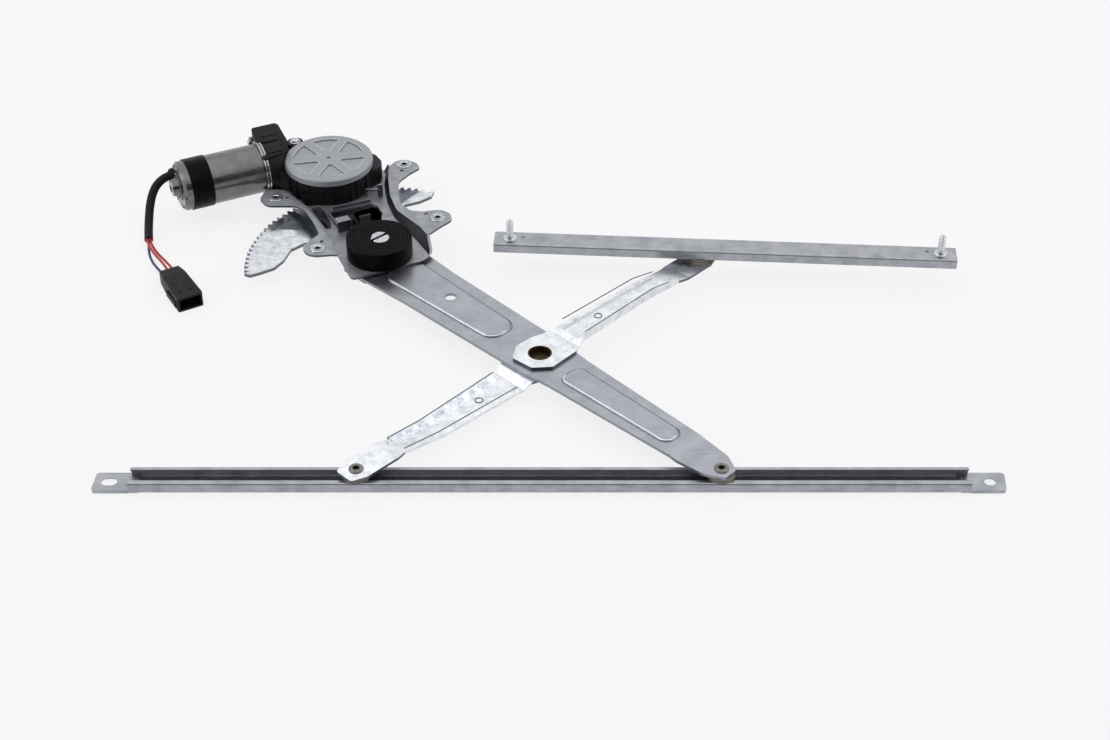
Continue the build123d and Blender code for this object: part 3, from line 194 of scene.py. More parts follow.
def metal(name, light, dark, patch_mm, line_mm, roughness, stretch=(1.0, 1.0, 1.0), turn=0.0,
          relief_mm=0.02, sheared=None, leaning_wall_shade=None):
    """A metal with patches of one size, and lines that run along the stretched axis."""
    material, tree, shader = new_material(name, roughness, 1.0)
    place = add_node(tree, "ShaderNodeTexCoord")
    turned = add_node(tree, "ShaderNodeMapping", values={"Rotation": (0, 0, turn), "Scale": stretch},
                      links={"Vector": place.outputs["Object"]})
    patch = add_node(tree, "ShaderNodeTexNoise",
                     values={"Scale": 1000 / patch_mm, "Detail": 4.0, "Roughness": 0.6},
                     links={"Vector": place.outputs["Object"]})
    line = add_node(tree, "ShaderNodeTexNoise", values={"Scale": 1000 / line_mm, "Detail": 3.0},
                    links={"Vector": turned.outputs["Vector"]})
    both = add_node(tree, "ShaderNodeMix", {"data_type": "FLOAT"}, {0: 0.45},
                    {2: patch.outputs["Fac"], 3: line.outputs["Fac"]})
    spread = add_node(tree, "ShaderNodeMapRange", values={"From Min": 0.36, "From Max": 0.64},
                      links={"Value": both.outputs[0]})
    tone = add_node(tree, "ShaderNodeMix", {"data_type": "RGBA"}, {6: linear(dark), 7: linear(light)},
                    {0: spread.outputs["Result"]})
    shine = add_node(tree, "ShaderNodeMapRange",
                     values={"To Min": roughness + 0.08, "To Max": roughness - 0.05},
                     links={"Value": spread.outputs["Result"]})
    bump = add_node(tree, "ShaderNodeBump", values={"Strength": 0.5, "Distance": relief_mm / 1000},
                    links={"Height": both.outputs[0]})
    colour = tone.outputs[2]
    if sheared:
        colour = bare_and_shaded_edges(tree, place, colour, sheared)
    if leaning_wall_shade:
        colour = paint_leaning_wall_shade(tree, place, colour, leaning_wall_shade)
    tree.links.new(colour, shader.inputs["Base Color"])
    tree.links.new(shine.outputs["Result"], shader.inputs["Roughness"])
    tree.links.new(bump.outputs["Normal"], shader.inputs["Normal"])
    return material


def uprightness(tree, place):
    """How much of a face's normal points up or down, from 0 to 1."""
    parts = add_node(tree, "ShaderNodeSeparateXYZ", links={0: place.outputs["Normal"]})
    level = add_node(tree, "ShaderNodeMath", {"operation": "ABSOLUTE"}, links={0: parts.outputs["Z"]})
    return level.outputs[0]


def tinted(tree, where, colour, tint):
    """A colour that gives way to a tint where a factor is 1."""
    mixed = add_node(tree, "ShaderNodeMix", {"data_type": "RGBA"}, {7: linear(tint)}, {0: where, 6: colour})
    return mixed.outputs[2]


def bare_and_shaded_edges(tree, place, colour, bare, mask=None):
    """Sheet lies flat, so its upright faces are sheared edges, where the steel is bare and darker; the darker
    tone is also painted shade along them.
    """
    edge = add_node(tree, "ShaderNodeMath", {"operation": "LESS_THAN"}, {1: EDGE_UPRIGHT},
                    {0: uprightness(tree, place)})
    if mask:
        edge = add_node(tree, "ShaderNodeMath", {"operation": "MULTIPLY"},
                        links={0: edge.outputs[0], 1: mask})
    return tinted(tree, edge.outputs[0], colour, bare)


def paint_leaning_wall_shade(tree, place, colour, wall_shade_tone):
    """Walls that lean get a darker tone, as painted shade and a painted reflection of the black spring beside
    them.
    """
    wall = add_node(tree, "ShaderNodeMath", {"operation": "COMPARE"}, {1: WALL_UPRIGHT, 2: WALL_REACH},
                    {0: uprightness(tree, place)})
    return tinted(tree, wall.outputs[0], colour, wall_shade_tone)


def finish_node(names, material):
    """Gives CAD nodes their material."""
    for name in names:
        for material_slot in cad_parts[name].material_slots:
            material_slot.material = material


def add_piece(name, form, material, body):
    """Makes a piece from a bmesh in millimetres, and lets it ride on a body."""
    bmesh.ops.recalc_face_normals(form, faces=form.faces)
    bmesh.ops.scale(form, vec=(0.001, 0.001, 0.001), verts=form.verts)
    mesh = bpy.data.meshes.new(name)
    form.to_mesh(mesh)
    form.free()
    mesh.materials.append(material)
    mesh.shade_smooth()
    mesh.set_sharp_from_angle(angle=radians(SMOOTH_BELOW))
    piece = bpy.data.objects.new(name, mesh)
    bpy.context.scene.collection.objects.link(piece)
    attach(piece, body)
    return piece


def soften(form, width):
    """Rounds every edge of a form that is sharper than an angle."""
    sharp = [edge for edge in form.edges if edge.is_manifold and edge.calc_face_angle(0) > radians(ROUND_ABOVE)]
    bmesh.ops.bevel(form, geom=sharp, offset=width, offset_type="OFFSET", segments=2, profile=0.5,
                    affect="EDGES", material=-1, clamp_overlap=True)


def join(form, other, place):
    """Moves a finished form to its place and puts it in with the rest of a piece."""
    bmesh.ops.transform(other, matrix=place, verts=other.verts)
    mesh = bpy.data.meshes.new("joined")
    other.to_mesh(mesh)
    other.free()
    form.from_mesh(mesh)
    bpy.data.meshes.remove(mesh)


def block(form, size, place, rounding):
    """A box of a size in millimetres at a place, with its edges rounded."""
    box = bmesh.new()
    bmesh.ops.create_cube(box, size=1.0)
    bmesh.ops.scale(box, vec=size, verts=box.verts)
    soften(box, rounding)
    join(form, box, place)


def lathe(form, profile, place, steps=48, turn=2 * pi, climb=0.0):
    """Turns (radius, height) points about Z, or makes a screw thread where they climb."""
    body = bmesh.new()
    corners = [body.verts.new((radius, 0, height)) for radius, height in profile]
    edges = [body.edges.new(pair) for pair in zip(corners, corners[1:])]
    if climb:
        geometry = [body.faces.new(corners)] + corners
    else:
        geometry = corners + edges
    bmesh.ops.spin(body, geom=geometry, cent=(0, 0, 0), axis=(0, 0, 1), dvec=(0, 0, climb / steps),
                   angle=turn, steps=steps, use_merge=not climb)
    bmesh.ops.remove_doubles(body, verts=body.verts, dist=0.0005)
    join(form, body, place)


def thread(form, crest, root, pitch, turns, place, steps=18):
    """A screw thread's ridge with its lower end at a place, outside or inside its core."""
    ridge = [(root, 0.08 * pitch), (crest, 0.45 * pitch), (crest, 0.6 * pitch), (root, 0.97 * pitch)]
    lathe(form, ridge, place, steps=int(turns * steps), turn=2 * pi * turns, climb=pitch * turns)


def at(x, y, z):
    """A shift to a place in millimetres."""
    return Matrix.Translation((x, y, z))


def about_z(degrees):
    """A turn about Z."""
    return Matrix.Rotation(radians(degrees), 4, "Z")


PLATE = about_z(25)
PLATE_TOP = 19.8
PLATE_FILM = 0.6
# Its leaning walls are near-black as painted shade and a painted reflection of the black spring.
plate_zinc = metal("zinc_plated_strip", "#acaeb4", "#8b8d94", 9.0, 0.7, 0.42, (0.15, 1.0, 1.0),
                   radians(-25), sheared="#55575c", leaning_wall_shade="#2e2f33")
plate_zinc.node_tree.nodes["Principled BSDF"].inputs["Metallic"].default_value = PLATE_FILM
finish_node(["base_plate"], plate_zinc)

# Window lips: the plate's window is pierced upwards, which leaves a low turned-up lip
# along its back and its left side.
LIP_HEIGHT = 3.2
LIP_SHEET = 1.2
LIP_ROUNDING = 0.35
# Width, depth, place in the plate's frame and turn of each lip.
LIPS = [
    (34.0, LIP_SHEET, (4.0, 79.4), -2.5),
    (LIP_SHEET, 22.0, (-18.9, 64.0), 2.0),
]
form = bmesh.new()
for width, depth, (u, v), turn in LIPS:
    place = PLATE @ at(u, v, PLATE_TOP + LIP_HEIGHT / 2) @ about_z(turn)
    block(form, (width, depth, LIP_HEIGHT), place, LIP_ROUNDING)
add_piece("window_lips", form, plate_zinc, "base")

# Side clip: a bent strip that stands at the window's right, in the plate's own zinc.
CLIP_TURN = -25
CLIP_ROUNDING = 0.4
# Size and place in the plate's frame of the clip's top, its post and its blade.
CLIP_PARTS = [
    ((14.0, 2.6, 1.6), (26.8, 86.2, 26.4)),
    ((1.6, 2.6, 7.0), (20.8, 89.0, 22.9)),
    ((4.4, 1.6, 12.0), (32.0, 83.8, 25.6)),
]
form = bmesh.new()
for size, spot in CLIP_PARTS:
    block(form, size, PLATE @ at(*spot) @ about_z(CLIP_TURN), CLIP_ROUNDING)
add_piece("side_clip", form, plate_zinc, "base")

# Ear nuts: turned steel collar nuts, pressed into the ears from above, bright zinc
# plated. A groove runs round the bore, which has an M6 thread coloured dark as painted shade.
NUT_PLACES = [(-53.8, 109.9), (66.2, 114.0), (60.3, 22.5), (-47.8, 21.0)]
NUT_FOOT = 20.2
NUT_BORE_R = 2.5
NUT_BODY_R = 5.2
NUT_COLLAR_R = 6.2
EAR_TOP = 26.0
NUT_RIM = EAR_TOP + 0.9
NUT_GROOVE = EAR_TOP + 0.3
NUT_TOP = EAR_TOP + 1.2
NUT_PROFILE = [
    (NUT_BORE_R, NUT_FOOT), (NUT_BODY_R, NUT_FOOT), (NUT_BODY_R, EAR_TOP), (NUT_COLLAR_R, EAR_TOP),
    (NUT_COLLAR_R, EAR_TOP + 0.5), (NUT_COLLAR_R - 0.4, NUT_RIM), (4.9, NUT_RIM), (4.7, NUT_GROOVE),
    (4.2, NUT_GROOVE), (4.0, NUT_TOP), (3.1, NUT_TOP), (NUT_BORE_R, EAR_TOP + 0.6), (NUT_BORE_R, NUT_FOOT),
]
NUT_THREAD_R = (2.15, 2.52)
NUT_PITCH = 0.8
NUT_TURNS = 7.0
bright_zinc = metal("bright_zinc", "#dddfe4", "#a9acb4", 3.0, 0.4, 0.2)
# Near-black: painted shade in the nut threads and rivet hollows, and the real dark of the oiled bearing felt.
dark_bore = metal("oiled_felt_and_painted_bore_shade", "#4a4a4e", "#242428", 1.5, 0.3, 0.4)
nuts = bmesh.new()
nut_threads = bmesh.new()
for u, v in NUT_PLACES:
    lathe(nuts, NUT_PROFILE, PLATE @ at(u, v, 0))
    thread(nut_threads, *NUT_THREAD_R, NUT_PITCH, NUT_TURNS, PLATE @ at(u, v, NUT_FOOT + 0.4))
nuts_piece = add_piece("ear_nuts", nuts, bright_zinc, "base")
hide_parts("weld_nuts")
add_piece("ear_nut_threads", nut_threads, dark_bore, "base")

# Main arm: 2.5 mm steel blank with two raised beads and a joggle at its end, zinc
# plated. It is an even satin grey with fine lines along its length.
arm_zinc = metal("zinc_plated_arm", "#adafb7", "#999ba3", 16.0, 0.6, 0.34, (0.06, 1.0, 1.0), radians(45.6),
                 sheared="#92949c")
finish_node(["main_arm"], arm_zinc)

# Bead rounds and foot lines: the press rounds the beads' tops. A bright line along the near side
# of each top is a painted highlight, and a dark line round each bead's foot is painted shade.
ARM = about_z(-45.6)
BEAD_TOP = 17.8
ARM_TOP = 16.3
# From, half width there, to, half width there.
BEADS = [(23.5, 17.0, 148.5, 12.5), (223.5, 10.0, 332.5, 8.0)]
CREST_GROW = 0.6
CREST_RADIUS = 0.75
FOOT_SHADE_GROW = 1.7
FOOT_SHADE_RADIUS = 0.35
# Corner radius of a bead's plan, as a share of its half width at the narrow end.
BEAD_CORNER = 0.75
bead_highlight_paint = metal("painted_bead_highlight", "#f0f2f6", "#d4d6dc", 8.0, 0.4, 0.22)
# Bare sheared steel for the flange edges and pilot rims; on the bead feet the same dark tone is painted shade.
bare_edge_and_shade = metal("bare_steel_and_painted_shade", "#7b7e85", "#55585e", 3.0, 0.4, 0.35)


def ring_edges(ring):
    """The edges between the corners of one ring."""
    return {edge for corner in ring for edge in corner.link_edges if edge.other_vert(corner) in ring}


def swept_round(form, points, radius, closed=True):
    """A thin round line along a row of points, from rings that are bridged."""
    rings = []
    for index, point in enumerate(points):
        before = Vector(points[index - 1])
        after = Vector(points[(index + 1) % len(points)])
        turn = (after - before).to_track_quat("Z", "Y").to_matrix().to_4x4()
        place = Matrix.Translation(point) @ turn
        rings.append(bmesh.ops.create_circle(form, segments=8, radius=radius, matrix=place)["verts"])
    if not closed:
        for ring in (rings[0], rings[-1]):
            form.faces.new(ring)
    for ring, following in zip(rings, rings[1:] + (rings[:1] if closed else [])):
        bmesh.ops.bridge_loops(form, edges=list(ring_edges(ring) | ring_edges(following)))


def bead_plan(bead, grow, height):
    """Points round a bead's plan, grown by a distance, at a height."""
    start, start_half, end, end_half = bead
    plan = bmesh.new()
    corners = [(start - grow, start_half + grow), (end + grow, end_half + grow)]
    corners += [(x, -y) for x, y in reversed(corners)]
    plan.faces.new([plan.verts.new((x, y, height)) for x, y in corners])
    bmesh.ops.bevel(plan, geom=plan.verts[:], offset=BEAD_CORNER * end_half + grow, offset_type="OFFSET",
                    segments=8, profile=0.5, affect="VERTICES", material=-1, clamp_overlap=True)
    plan.faces.ensure_lookup_table()
    points = [loop.vert.co.copy() for loop in plan.faces[0].loops]
    plan.free()
    return points


form = bmesh.new()
bead_foot_shade = bmesh.new()
for bead in BEADS:
    crest = [point for point in bead_plan(bead, CREST_GROW, BEAD_TOP - CREST_RADIUS) if point.y < 0]
    crest.sort(key=lambda point: point.x)
    swept_round(form, [ARM @ point for point in crest], CREST_RADIUS, closed=False)
    foot_outline = bead_plan(bead, FOOT_SHADE_GROW, ARM_TOP)
    swept_round(bead_foot_shade, [ARM @ point for point in foot_outline], FOOT_SHADE_RADIUS)
add_piece("arm_bead_painted_highlights", form, bead_highlight_paint, "main_arm")
add_piece("arm_bead_painted_shade", bead_foot_shade, bare_edge_and_shade, "main_arm")

# Sector and equaliser halves: stamped from hot-dip galvanised sheet. They are bright,
# nearly mirror-like between frosty patches a few millimetres across, so that the
# sector shows the black gearbox above it.
galvanised, tree, shader = new_material("hot_dip_galvanised", 0.2, 1.0)
SPANGLE_MM = 9.0
FROST_MM = 2.2
# Where the two arms cross, and the zone of each half that has turned-up flanges, in metres.
CROSSING = (0.13294, -0.13575, 0.0)
FLANGE_MIDDLE = 0.093
FLANGE_REACH = 0.059
place = add_node(tree, "ShaderNodeTexCoord")
spangle = add_node(tree, "ShaderNodeTexNoise",
                   values={"Scale": 1000 / SPANGLE_MM, "Detail": 5.0, "Roughness": 0.65},
                   links={"Vector": place.outputs["Object"]})
frost = add_node(tree, "ShaderNodeTexNoise",
                 values={"Scale": 1000 / FROST_MM, "Detail": 4.0, "Roughness": 0.7},
                 links={"Vector": place.outputs["Object"]})
both = add_node(tree, "ShaderNodeMix", {"data_type": "FLOAT"}, {0: 0.4},
                {2: spangle.outputs["Fac"], 3: frost.outputs["Fac"]})
spread = add_node(tree, "ShaderNodeMapRange", values={"From Min": 0.33, "From Max": 0.56},
                  links={"Value": both.outputs[0]})
tone = add_node(tree, "ShaderNodeMix", {"data_type": "RGBA"}, {6: linear("#bcc0c8"), 7: linear("#eceef2")},
                {0: spread.outputs["Result"]})
shine = add_node(tree, "ShaderNodeMapRange", values={"To Min": 0.4, "To Max": 0.24},
                 links={"Value": spread.outputs["Result"]})
bump = add_node(tree, "ShaderNodeBump", values={"Strength": 0.4, "Distance": 0.00004},
                links={"Height": both.outputs[0]})
away = add_node(tree, "ShaderNodeVectorMath", {"operation": "DISTANCE"}, {1: CROSSING},
                {0: place.outputs["Object"]})
from_flange = add_node(tree, "ShaderNodeMath", {"operation": "SUBTRACT"}, {1: FLANGE_MIDDLE},
                       {0: away.outputs["Value"]})
beyond = add_node(tree, "ShaderNodeMath", {"operation": "ABSOLUTE"}, links={0: from_flange.outputs[0]})
flat = add_node(tree, "ShaderNodeMath", {"operation": "GREATER_THAN"}, {1: FLANGE_REACH},
                {0: beyond.outputs[0]})
# Outside the flanges, the halves' upright edges are bare steel, darkened further as painted shade.
colour = bare_and_shaded_edges(tree, place, tone.outputs[2], "#64676e", flat.outputs[0])
tree.links.new(colour, shader.inputs["Base Color"])
tree.links.new(shine.outputs["Result"], shader.inputs["Roughness"])
tree.links.new(bump.outputs["Normal"], shader.inputs["Normal"])
finish_node(["equalizer_upper", "equalizer_lower"], galvanised)
sector_zinc = metal("bright_galvanised_sector", "#f0f2f6", "#b8bcc4", 6.0, 0.5, 0.12, (0.12, 1.0, 1.0),
                    relief_mm=0.03, sheared="#6c6f76")
finish_node(["sector_gear"], sector_zinc)

# Flange edges: the halves' turned-up flanges end in sheared edges of bare grey steel,
# and each half has a pierced pilot hole in its floor with a rolled rim.
EQUALISER = at(132.94, -135.75, 0) @ about_z(45.6)
FLANGE_START = 38
FLANGE_BEND = 118
FLANGE_END = 151
# How far the flange has narrowed at its bend, and its edge's middle from its outside.
BEND_SHARE = 0.28
EDGE_INSET = 0.9
EDGE_WIDTH = 1.1
EDGE_THICK = 0.3
EDGE_ROUNDING = 0.1
HALF_SHEET = 2.2
PILOT_AT = 66.0
PILOT_RIM = [(2.6, -0.1), (3.6, -0.1), (3.4, 0.35), (2.9, 0.45), (2.6, 0.3), (2.6, -0.1)]


def strip(form, start, end, width, height):
    """A thin flat strip from one point to another."""
    turn = (end - start).to_track_quat("X", "Z").to_matrix().to_4x4()
    place = Matrix.Translation((start + end) / 2) @ turn
    block(form, ((end - start).length, width, height), place, EDGE_ROUNDING)


# Turn, half widths at both ends, floor, flange tops at both ends and where the strip ends
# on each half. The upper strips stop short of the door rail when the arms fold.
HALVES = [
    ("upper", 0, (13.2, 10.8), 18.2 + HALF_SHEET, (25.6, 21.2), FLANGE_END - 10),
    ("lower", 180, (14.2, 9.8), 6.5 + HALF_SHEET, (13.4, 16.4), FLANGE_END),
]
for half, turn, (near, far), beam_floor, (top, last), reach in HALVES:
    place = EQUALISER @ about_z(turn)
    middle = far + (near - far) * BEND_SHARE
    form = bmesh.new()
    for side in (1, -1):
        corners = [
            (FLANGE_START, side * (near - EDGE_INSET), top),
            (FLANGE_BEND, side * (middle - EDGE_INSET), top),
            (reach, side * (far - EDGE_INSET), last),
        ]
        for start, end in zip(corners, corners[1:]):
            strip(form, place @ Vector(start), place @ Vector(end), EDGE_WIDTH, EDGE_THICK)
    add_piece(half + "_flange_edges", form, bare_edge_and_shade, "equalizer")
    form = bmesh.new()
    lathe(form, PILOT_RIM, place @ at(PILOT_AT, 0, beam_floor), steps=36)
    add_piece(half + "_pilot_rim", form, bare_edge_and_shade, "equalizer")

# Rails: channels rolled from 1.2 mm galvanised strip. The rollers leave fine lines
# along them, and the dull passivated coat is a mid grey.
rail_zinc = metal("roll_formed_zinc", "#b2b4ba", "#92949b", 14.0, 0.5, 0.36, (0.03, 1.0, 1.0))
finish_node(["lower_rail", "upper_rail"], rail_zinc)

# Rail studs: M6 bolts pressed through the door rail, with a turned collar on top and
# a rolled thread up to a chamfered tip, bright zinc plated.
DOOR = at(265.87, 0, 0) @ about_z(-3.73)
STUD_PLACES = [-159.0, 197.0]
DOOR_TOP = 29.0
DOOR_BOTTOM = DOOR_TOP - 1.2
STUD_FOOT = DOOR_BOTTOM - 2.0
STUD_COLLAR = DOOR_TOP + 1.2
STUD_TIP = 46.0
STUD_HEAD_R = 5.6
STUD_NECK_R = 3.0
STUD_CORE_R = 2.6
STUD_PROFILE = [
    (0, STUD_FOOT), (STUD_HEAD_R, STUD_FOOT), (STUD_HEAD_R, DOOR_BOTTOM), (STUD_NECK_R, DOOR_BOTTOM),
    (STUD_NECK_R, DOOR_TOP), (STUD_HEAD_R, DOOR_TOP), (STUD_HEAD_R, DOOR_TOP + 0.5), (4.1, STUD_COLLAR),
    (STUD_CORE_R, STUD_COLLAR), (STUD_CORE_R, STUD_TIP - 0.8), (2.0, STUD_TIP), (0, STUD_TIP),
]
STUD_THREAD_R = (2.99, 2.55)
STUD_PITCH = 1.0
STUD_TURNS = 14.0
form = bmesh.new()
for x in STUD_PLACES:
    lathe(form, STUD_PROFILE, DOOR @ at(x, 0, 0))
    thread(form, *STUD_THREAD_R, STUD_PITCH, STUD_TURNS, DOOR @ at(x, 0, STUD_COLLAR + 0.2))
studs = add_piece("rail_studs_threaded", form, bright_zinc, "upper_rail")
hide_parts("upper_rail_studs")

# Roller pins: shouldered steel rivets with a drilled head that is rolled over the arm,
# which leaves a raised lip round a hollow; a dark disc at its bottom is painted shade.
PIN_NECK_R = 3.0
PIN_SHOULDER_R = 4.0
PIN_HEAD_R = 5.5
PIN_FOOT_R = PIN_HEAD_R - 0.3
PIN_BORE_R = 2.4
PIN_FOOT = -10.9
PIN_FOOT_TOP = PIN_FOOT + 1.5
# Node, body, place, height of the arm's face, its sheet and the pin's direction.
PINS = [
    ("pin_b", "main_arm", (265.87, -271.54), 12.8, 2.5, 1),
    ("pin_e", "equalizer", (0.0, -271.54), 12.8, 2.2, 1),
    ("pin_d", "equalizer", (265.87, 0.0), 16.2, 2.2, -1),
]
pin_zinc = metal("zinc_plated_rivet", "#8f8d88", "#5c5a56", 2.0, 0.3, 0.35)


def rod(radius, low, high):
    """The profile of a plain round rod, from the axis to the axis."""
    return [(0, low), (radius, low), (radius, high), (0, high)]


for node, body, (x, y), face, sheet, up in PINS:
    place = at(x, y, face)
    profile = [
        (0, PIN_FOOT), (PIN_FOOT_R, PIN_FOOT), (PIN_FOOT_R, PIN_FOOT_TOP), (PIN_NECK_R, PIN_FOOT_TOP),
        (PIN_NECK_R, 0), (PIN_SHOULDER_R, 0), (PIN_SHOULDER_R, sheet), (PIN_HEAD_R, sheet),
        (PIN_HEAD_R, sheet + 0.6), (PIN_HEAD_R - 1.0, sheet + 1.5), (PIN_BORE_R + 0.7, sheet + 1.7),
        (PIN_BORE_R, sheet + 1.2), (PIN_BORE_R - 0.2, sheet - 1.2), (0, sheet - 1.2),
    ]
    form = bmesh.new()
    lathe(form, [(radius, up * height) for radius, height in profile], place, steps=40)
    pin = add_piece(node + "_rivet", form, pin_zinc, body)
    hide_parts(node)
    form = bmesh.new()
    lathe(form, rod(PIN_BORE_R - 0.3, up * (sheet - 1.1), up * (sheet - 0.9)), place, steps=24)
    add_piece(node + "_hollow_shade", form, dark_bore, body)

# Pivot and its washer are bright plated steel. The bush under them is sintered bronze
# and the hollow bush where the arms cross is phosphated, dark and dull.
phosphated = metal("phosphated_bush", "#6e6050", "#3a3128", 2.0, 0.4, 0.5)
bronze = metal("sintered_bronze", "#8a6a3c", "#5e4526", 2.0, 0.4, 0.5)
finish_node(["pivot_shaft", "pivot_washer", "sector_rivets"], bright_zinc)
finish_node(["pivot_bush"], bronze)
finish_node(["centre_bush"], phosphated)

# Clock spring: hardened strip, oil blackened, a near-black with a faint brown warmth.
spring_strip = metal("oil_blackened_strip", "#161412", "#0b0a09", 4.0, 0.4, 0.42)
finish_node(["clock_spring"], spring_strip)

# Shoes and worm wheel: natural acetal, which is cream and a little waxy; its cream is
# darkened to grey-brown as painted shade.


def speckled(name, low, high, grain_mm, roughness, metallic=0.0, detail=3.0, grain_roughness=0.5,
             relief_mm=0.0, gloss=0.5):
    """A material whose tone wanders between two over a grain, with a fine relief if asked."""
    material, tree, shader = new_material(name, roughness, metallic)
    place = add_node(tree, "ShaderNodeTexCoord")
    grain = add_node(tree, "ShaderNodeTexNoise",
                     values={"Scale": 1000 / grain_mm, "Detail": detail, "Roughness": grain_roughness},
                     links={"Vector": place.outputs["Object"]})
    tone = add_node(tree, "ShaderNodeMix", {"data_type": "RGBA"}, {6: linear(low), 7: linear(high)},
                    {0: grain.outputs["Fac"]})
    tree.links.new(tone.outputs[2], shader.inputs["Base Color"])
    if relief_mm:
        bump = add_node(tree, "ShaderNodeBump", values={"Strength": 0.3, "Distance": relief_mm / 1000},
                        links={"Height": grain.outputs["Fac"]})
        tree.links.new(bump.outputs["Normal"], shader.inputs["Normal"])
    shader.inputs["Specular IOR Level"].default_value = gloss
    return material


WAX_MM = 3.0
acetal = speckled("natural_acetal", "#857f70", "#a09a89", WAX_MM, 0.4)
finish_node(["shoe_b", "shoe_d", "shoe_e", "drive_gear"], acetal)

# Gearbox housing and terminal block: moulded in glass-filled nylon, near-black and
# dull, with the fine grain of a spark-eroded mould.
GRAIN_MM = 0.9
RELIEF_MM = 0.2
DULL = 0.25
moulded = speckled("moulded_black_nylon", "#060607", "#121215", GRAIN_MM, 0.5, relief_mm=RELIEF_MM,
                   gloss=DULL)
finish_node(["gear_housing", "brush_block", "connector_body", "connector_core"], moulded)

# Housing ribs: thin moulded ribs that stiffen the bowl under the cover, closest where
# the screw bosses pull on it.
OUTPUT = PLATE @ at(0, 122.0, 0)
HOUSING_R = 36.4
RIB_ANGLES = [-70, -50, -30, -10, 10, 180, 200, 220, 240, 260, 280, 100, 120]
RIB_SIZE = (1.6, 1.4, 17.6)
RIB_MIDDLE = PLATE_TOP + 9.6
RIB_ROUNDING = 0.3
form = bmesh.new()
for angle in RIB_ANGLES:
    place = OUTPUT @ about_z(angle) @ at(HOUSING_R + 0.3, 0, RIB_MIDDLE)
    block(form, RIB_SIZE, place, RIB_ROUNDING)
add_piece("housing_ribs", form, moulded, "base")

# Terminal block trim: two low ribs along the block's leaning top with four bars across,
# moulded in one with it.
BLOCK_TOP = PLATE @ at(-41.0, 134.0, 51.5) @ Matrix.Rotation(radians(13.4), 4, "X")
BAR_SIZE = (15.0, 1.4, 0.8)
BAR_ROWS = [6.0, 13.0, 20.0, 27.0]
LONG_SIZE = (1.4, 30.0, 0.8)
LONG_SIDE = 9.5
LONG_MIDDLE = 17.0
RIB_LIFT = 0.1
form = bmesh.new()
for y in BAR_ROWS:
    block(form, BAR_SIZE, BLOCK_TOP @ at(0, y, RIB_LIFT), RIB_ROUNDING)
for x in (-LONG_SIDE, LONG_SIDE):
    block(form, LONG_SIZE, BLOCK_TOP @ at(x, LONG_MIDDLE, RIB_LIFT), RIB_ROUNDING)
add_piece("terminal_block_ribs", form, moulded, "base")

# Gearbox cover: pressure die-cast zinc, light grey and frosty, with shallow pockets.
CAST_MM = 1.6
die_cast = speckled("die_cast_zinc", "#96989e", "#b2b4ba", CAST_MM, 0.5, metallic=0.6, detail=6.0,
                    grain_roughness=0.7, relief_mm=RELIEF_MM)
finish_node(["gear_cover"], die_cast)

# Cover fillets: the die leaves a small radius round each of the six pockets, and a thin
# bright line along each is a painted highlight.
COVER_TOP = 45.7
POCKET_FLOOR = COVER_TOP - 1.8
POCKET_R = 30.5
HUB_R = 11.5
SPOKE_HALF = 4.3
SPOKE_START = radians(70.5 - 25)
POCKETS = 6
ARC_STEPS = 9
FILLET_GROW = 0.3
FILLET_R = 0.35
FILLET_SINK = 0.05
fillet_highlight_paint = metal("painted_fillet_highlight", "#dcdde0", "#c4c6cb", 2.0, 0.4, 0.3)


def pocket_line(first, last, grow):
    """The outline of one pocket between two spokes, seen from above."""
    line = []
    for radius, way in ((POCKET_R + grow, 1), (HUB_R - grow, -1)):
        reach = asin((SPOKE_HALF - grow) / radius)
        span = last - first - 2 * reach
        arc = [first + reach + span * k / ARC_STEPS for k in range(ARC_STEPS + 1)]
        line += [(radius * cos(angle), radius * sin(angle)) for angle in arc[::way]]
    return line


form = bmesh.new()
for k in range(POCKETS):
    first = SPOKE_START + k * 2 * pi / POCKETS
    outline = pocket_line(first, first + 2 * pi / POCKETS, FILLET_GROW)
    swept_round(form, [OUTPUT @ Vector((x, y, COVER_TOP - FILLET_SINK)) for x, y in outline], FILLET_R)
add_piece("cover_fillet_highlights", form, fillet_highlight_paint, "base")

# Cover shelves: the pockets' floors step up towards the rim, which leaves only a
# shallow ledge, so that they read as thin outlines.
SHELF_FOOT = POCKET_FLOOR - 0.1
SHELF_TOP = COVER_TOP - 0.9
SHELF_R = POCKET_R - 0.2
SHELF_PROFILE = [
    (0, SHELF_FOOT), (SHELF_R, SHELF_FOOT), (SHELF_R, SHELF_TOP), (HUB_R + 0.2, SHELF_TOP), (0, SHELF_TOP),
]
form = bmesh.new()
lathe(form, SHELF_PROFILE, OUTPUT, steps=72)
add_piece("cover_shelves", form, die_cast, "base")

# Motor can: drawn steel, nickel plated, with fine draw lines along it and a crimped flange at
# the gearbox. The near-black band round its middle is painted shade on the round can.
drawn_can = metal("drawn_steel_can", "#7c7b7b", "#676667", 10.0, 0.4, 0.22, (0.05, 1.0, 1.0),
                  radians(-25))
can_band_shade = metal("painted_shade_band", "#1a1a1c", "#0e0e10", 4.0, 0.6, 0.45)
finish_node(["motor_can", "motor_end_cap"], drawn_can)
finish_node(["can_band"], can_band_shade)

# Crimp edges: the rims of the can's flange and of the plate crimped to it, in bright zinc,
# a painted highlight along each rim.
MOTOR = PLATE @ at(0, 151.4, 33.0) @ Matrix.Rotation(radians(90), 4, "Y")
CAN_FRONT = -54.5
CAN_BACK = -122.0
CAN_R = 21.5
FLANGE_BACK = -50.7
FLANGE_R = 23.5
# Distance from the flange's rim and height of a crimp's corners.
CRIMP_CORNERS = [(-0.6, -0.5), (0.15, -0.35), (0.15, 0.35), (-0.6, 0.5)]
form = bmesh.new()
for z in (CAN_FRONT + 0.5, FLANGE_BACK - 0.5):
    crimp = [(FLANGE_R + out, z + height) for out, height in CRIMP_CORNERS]
    lathe(form, crimp, MOTOR, steps=72)
add_piece("flange_crimp_edges", form, bright_zinc, "base")

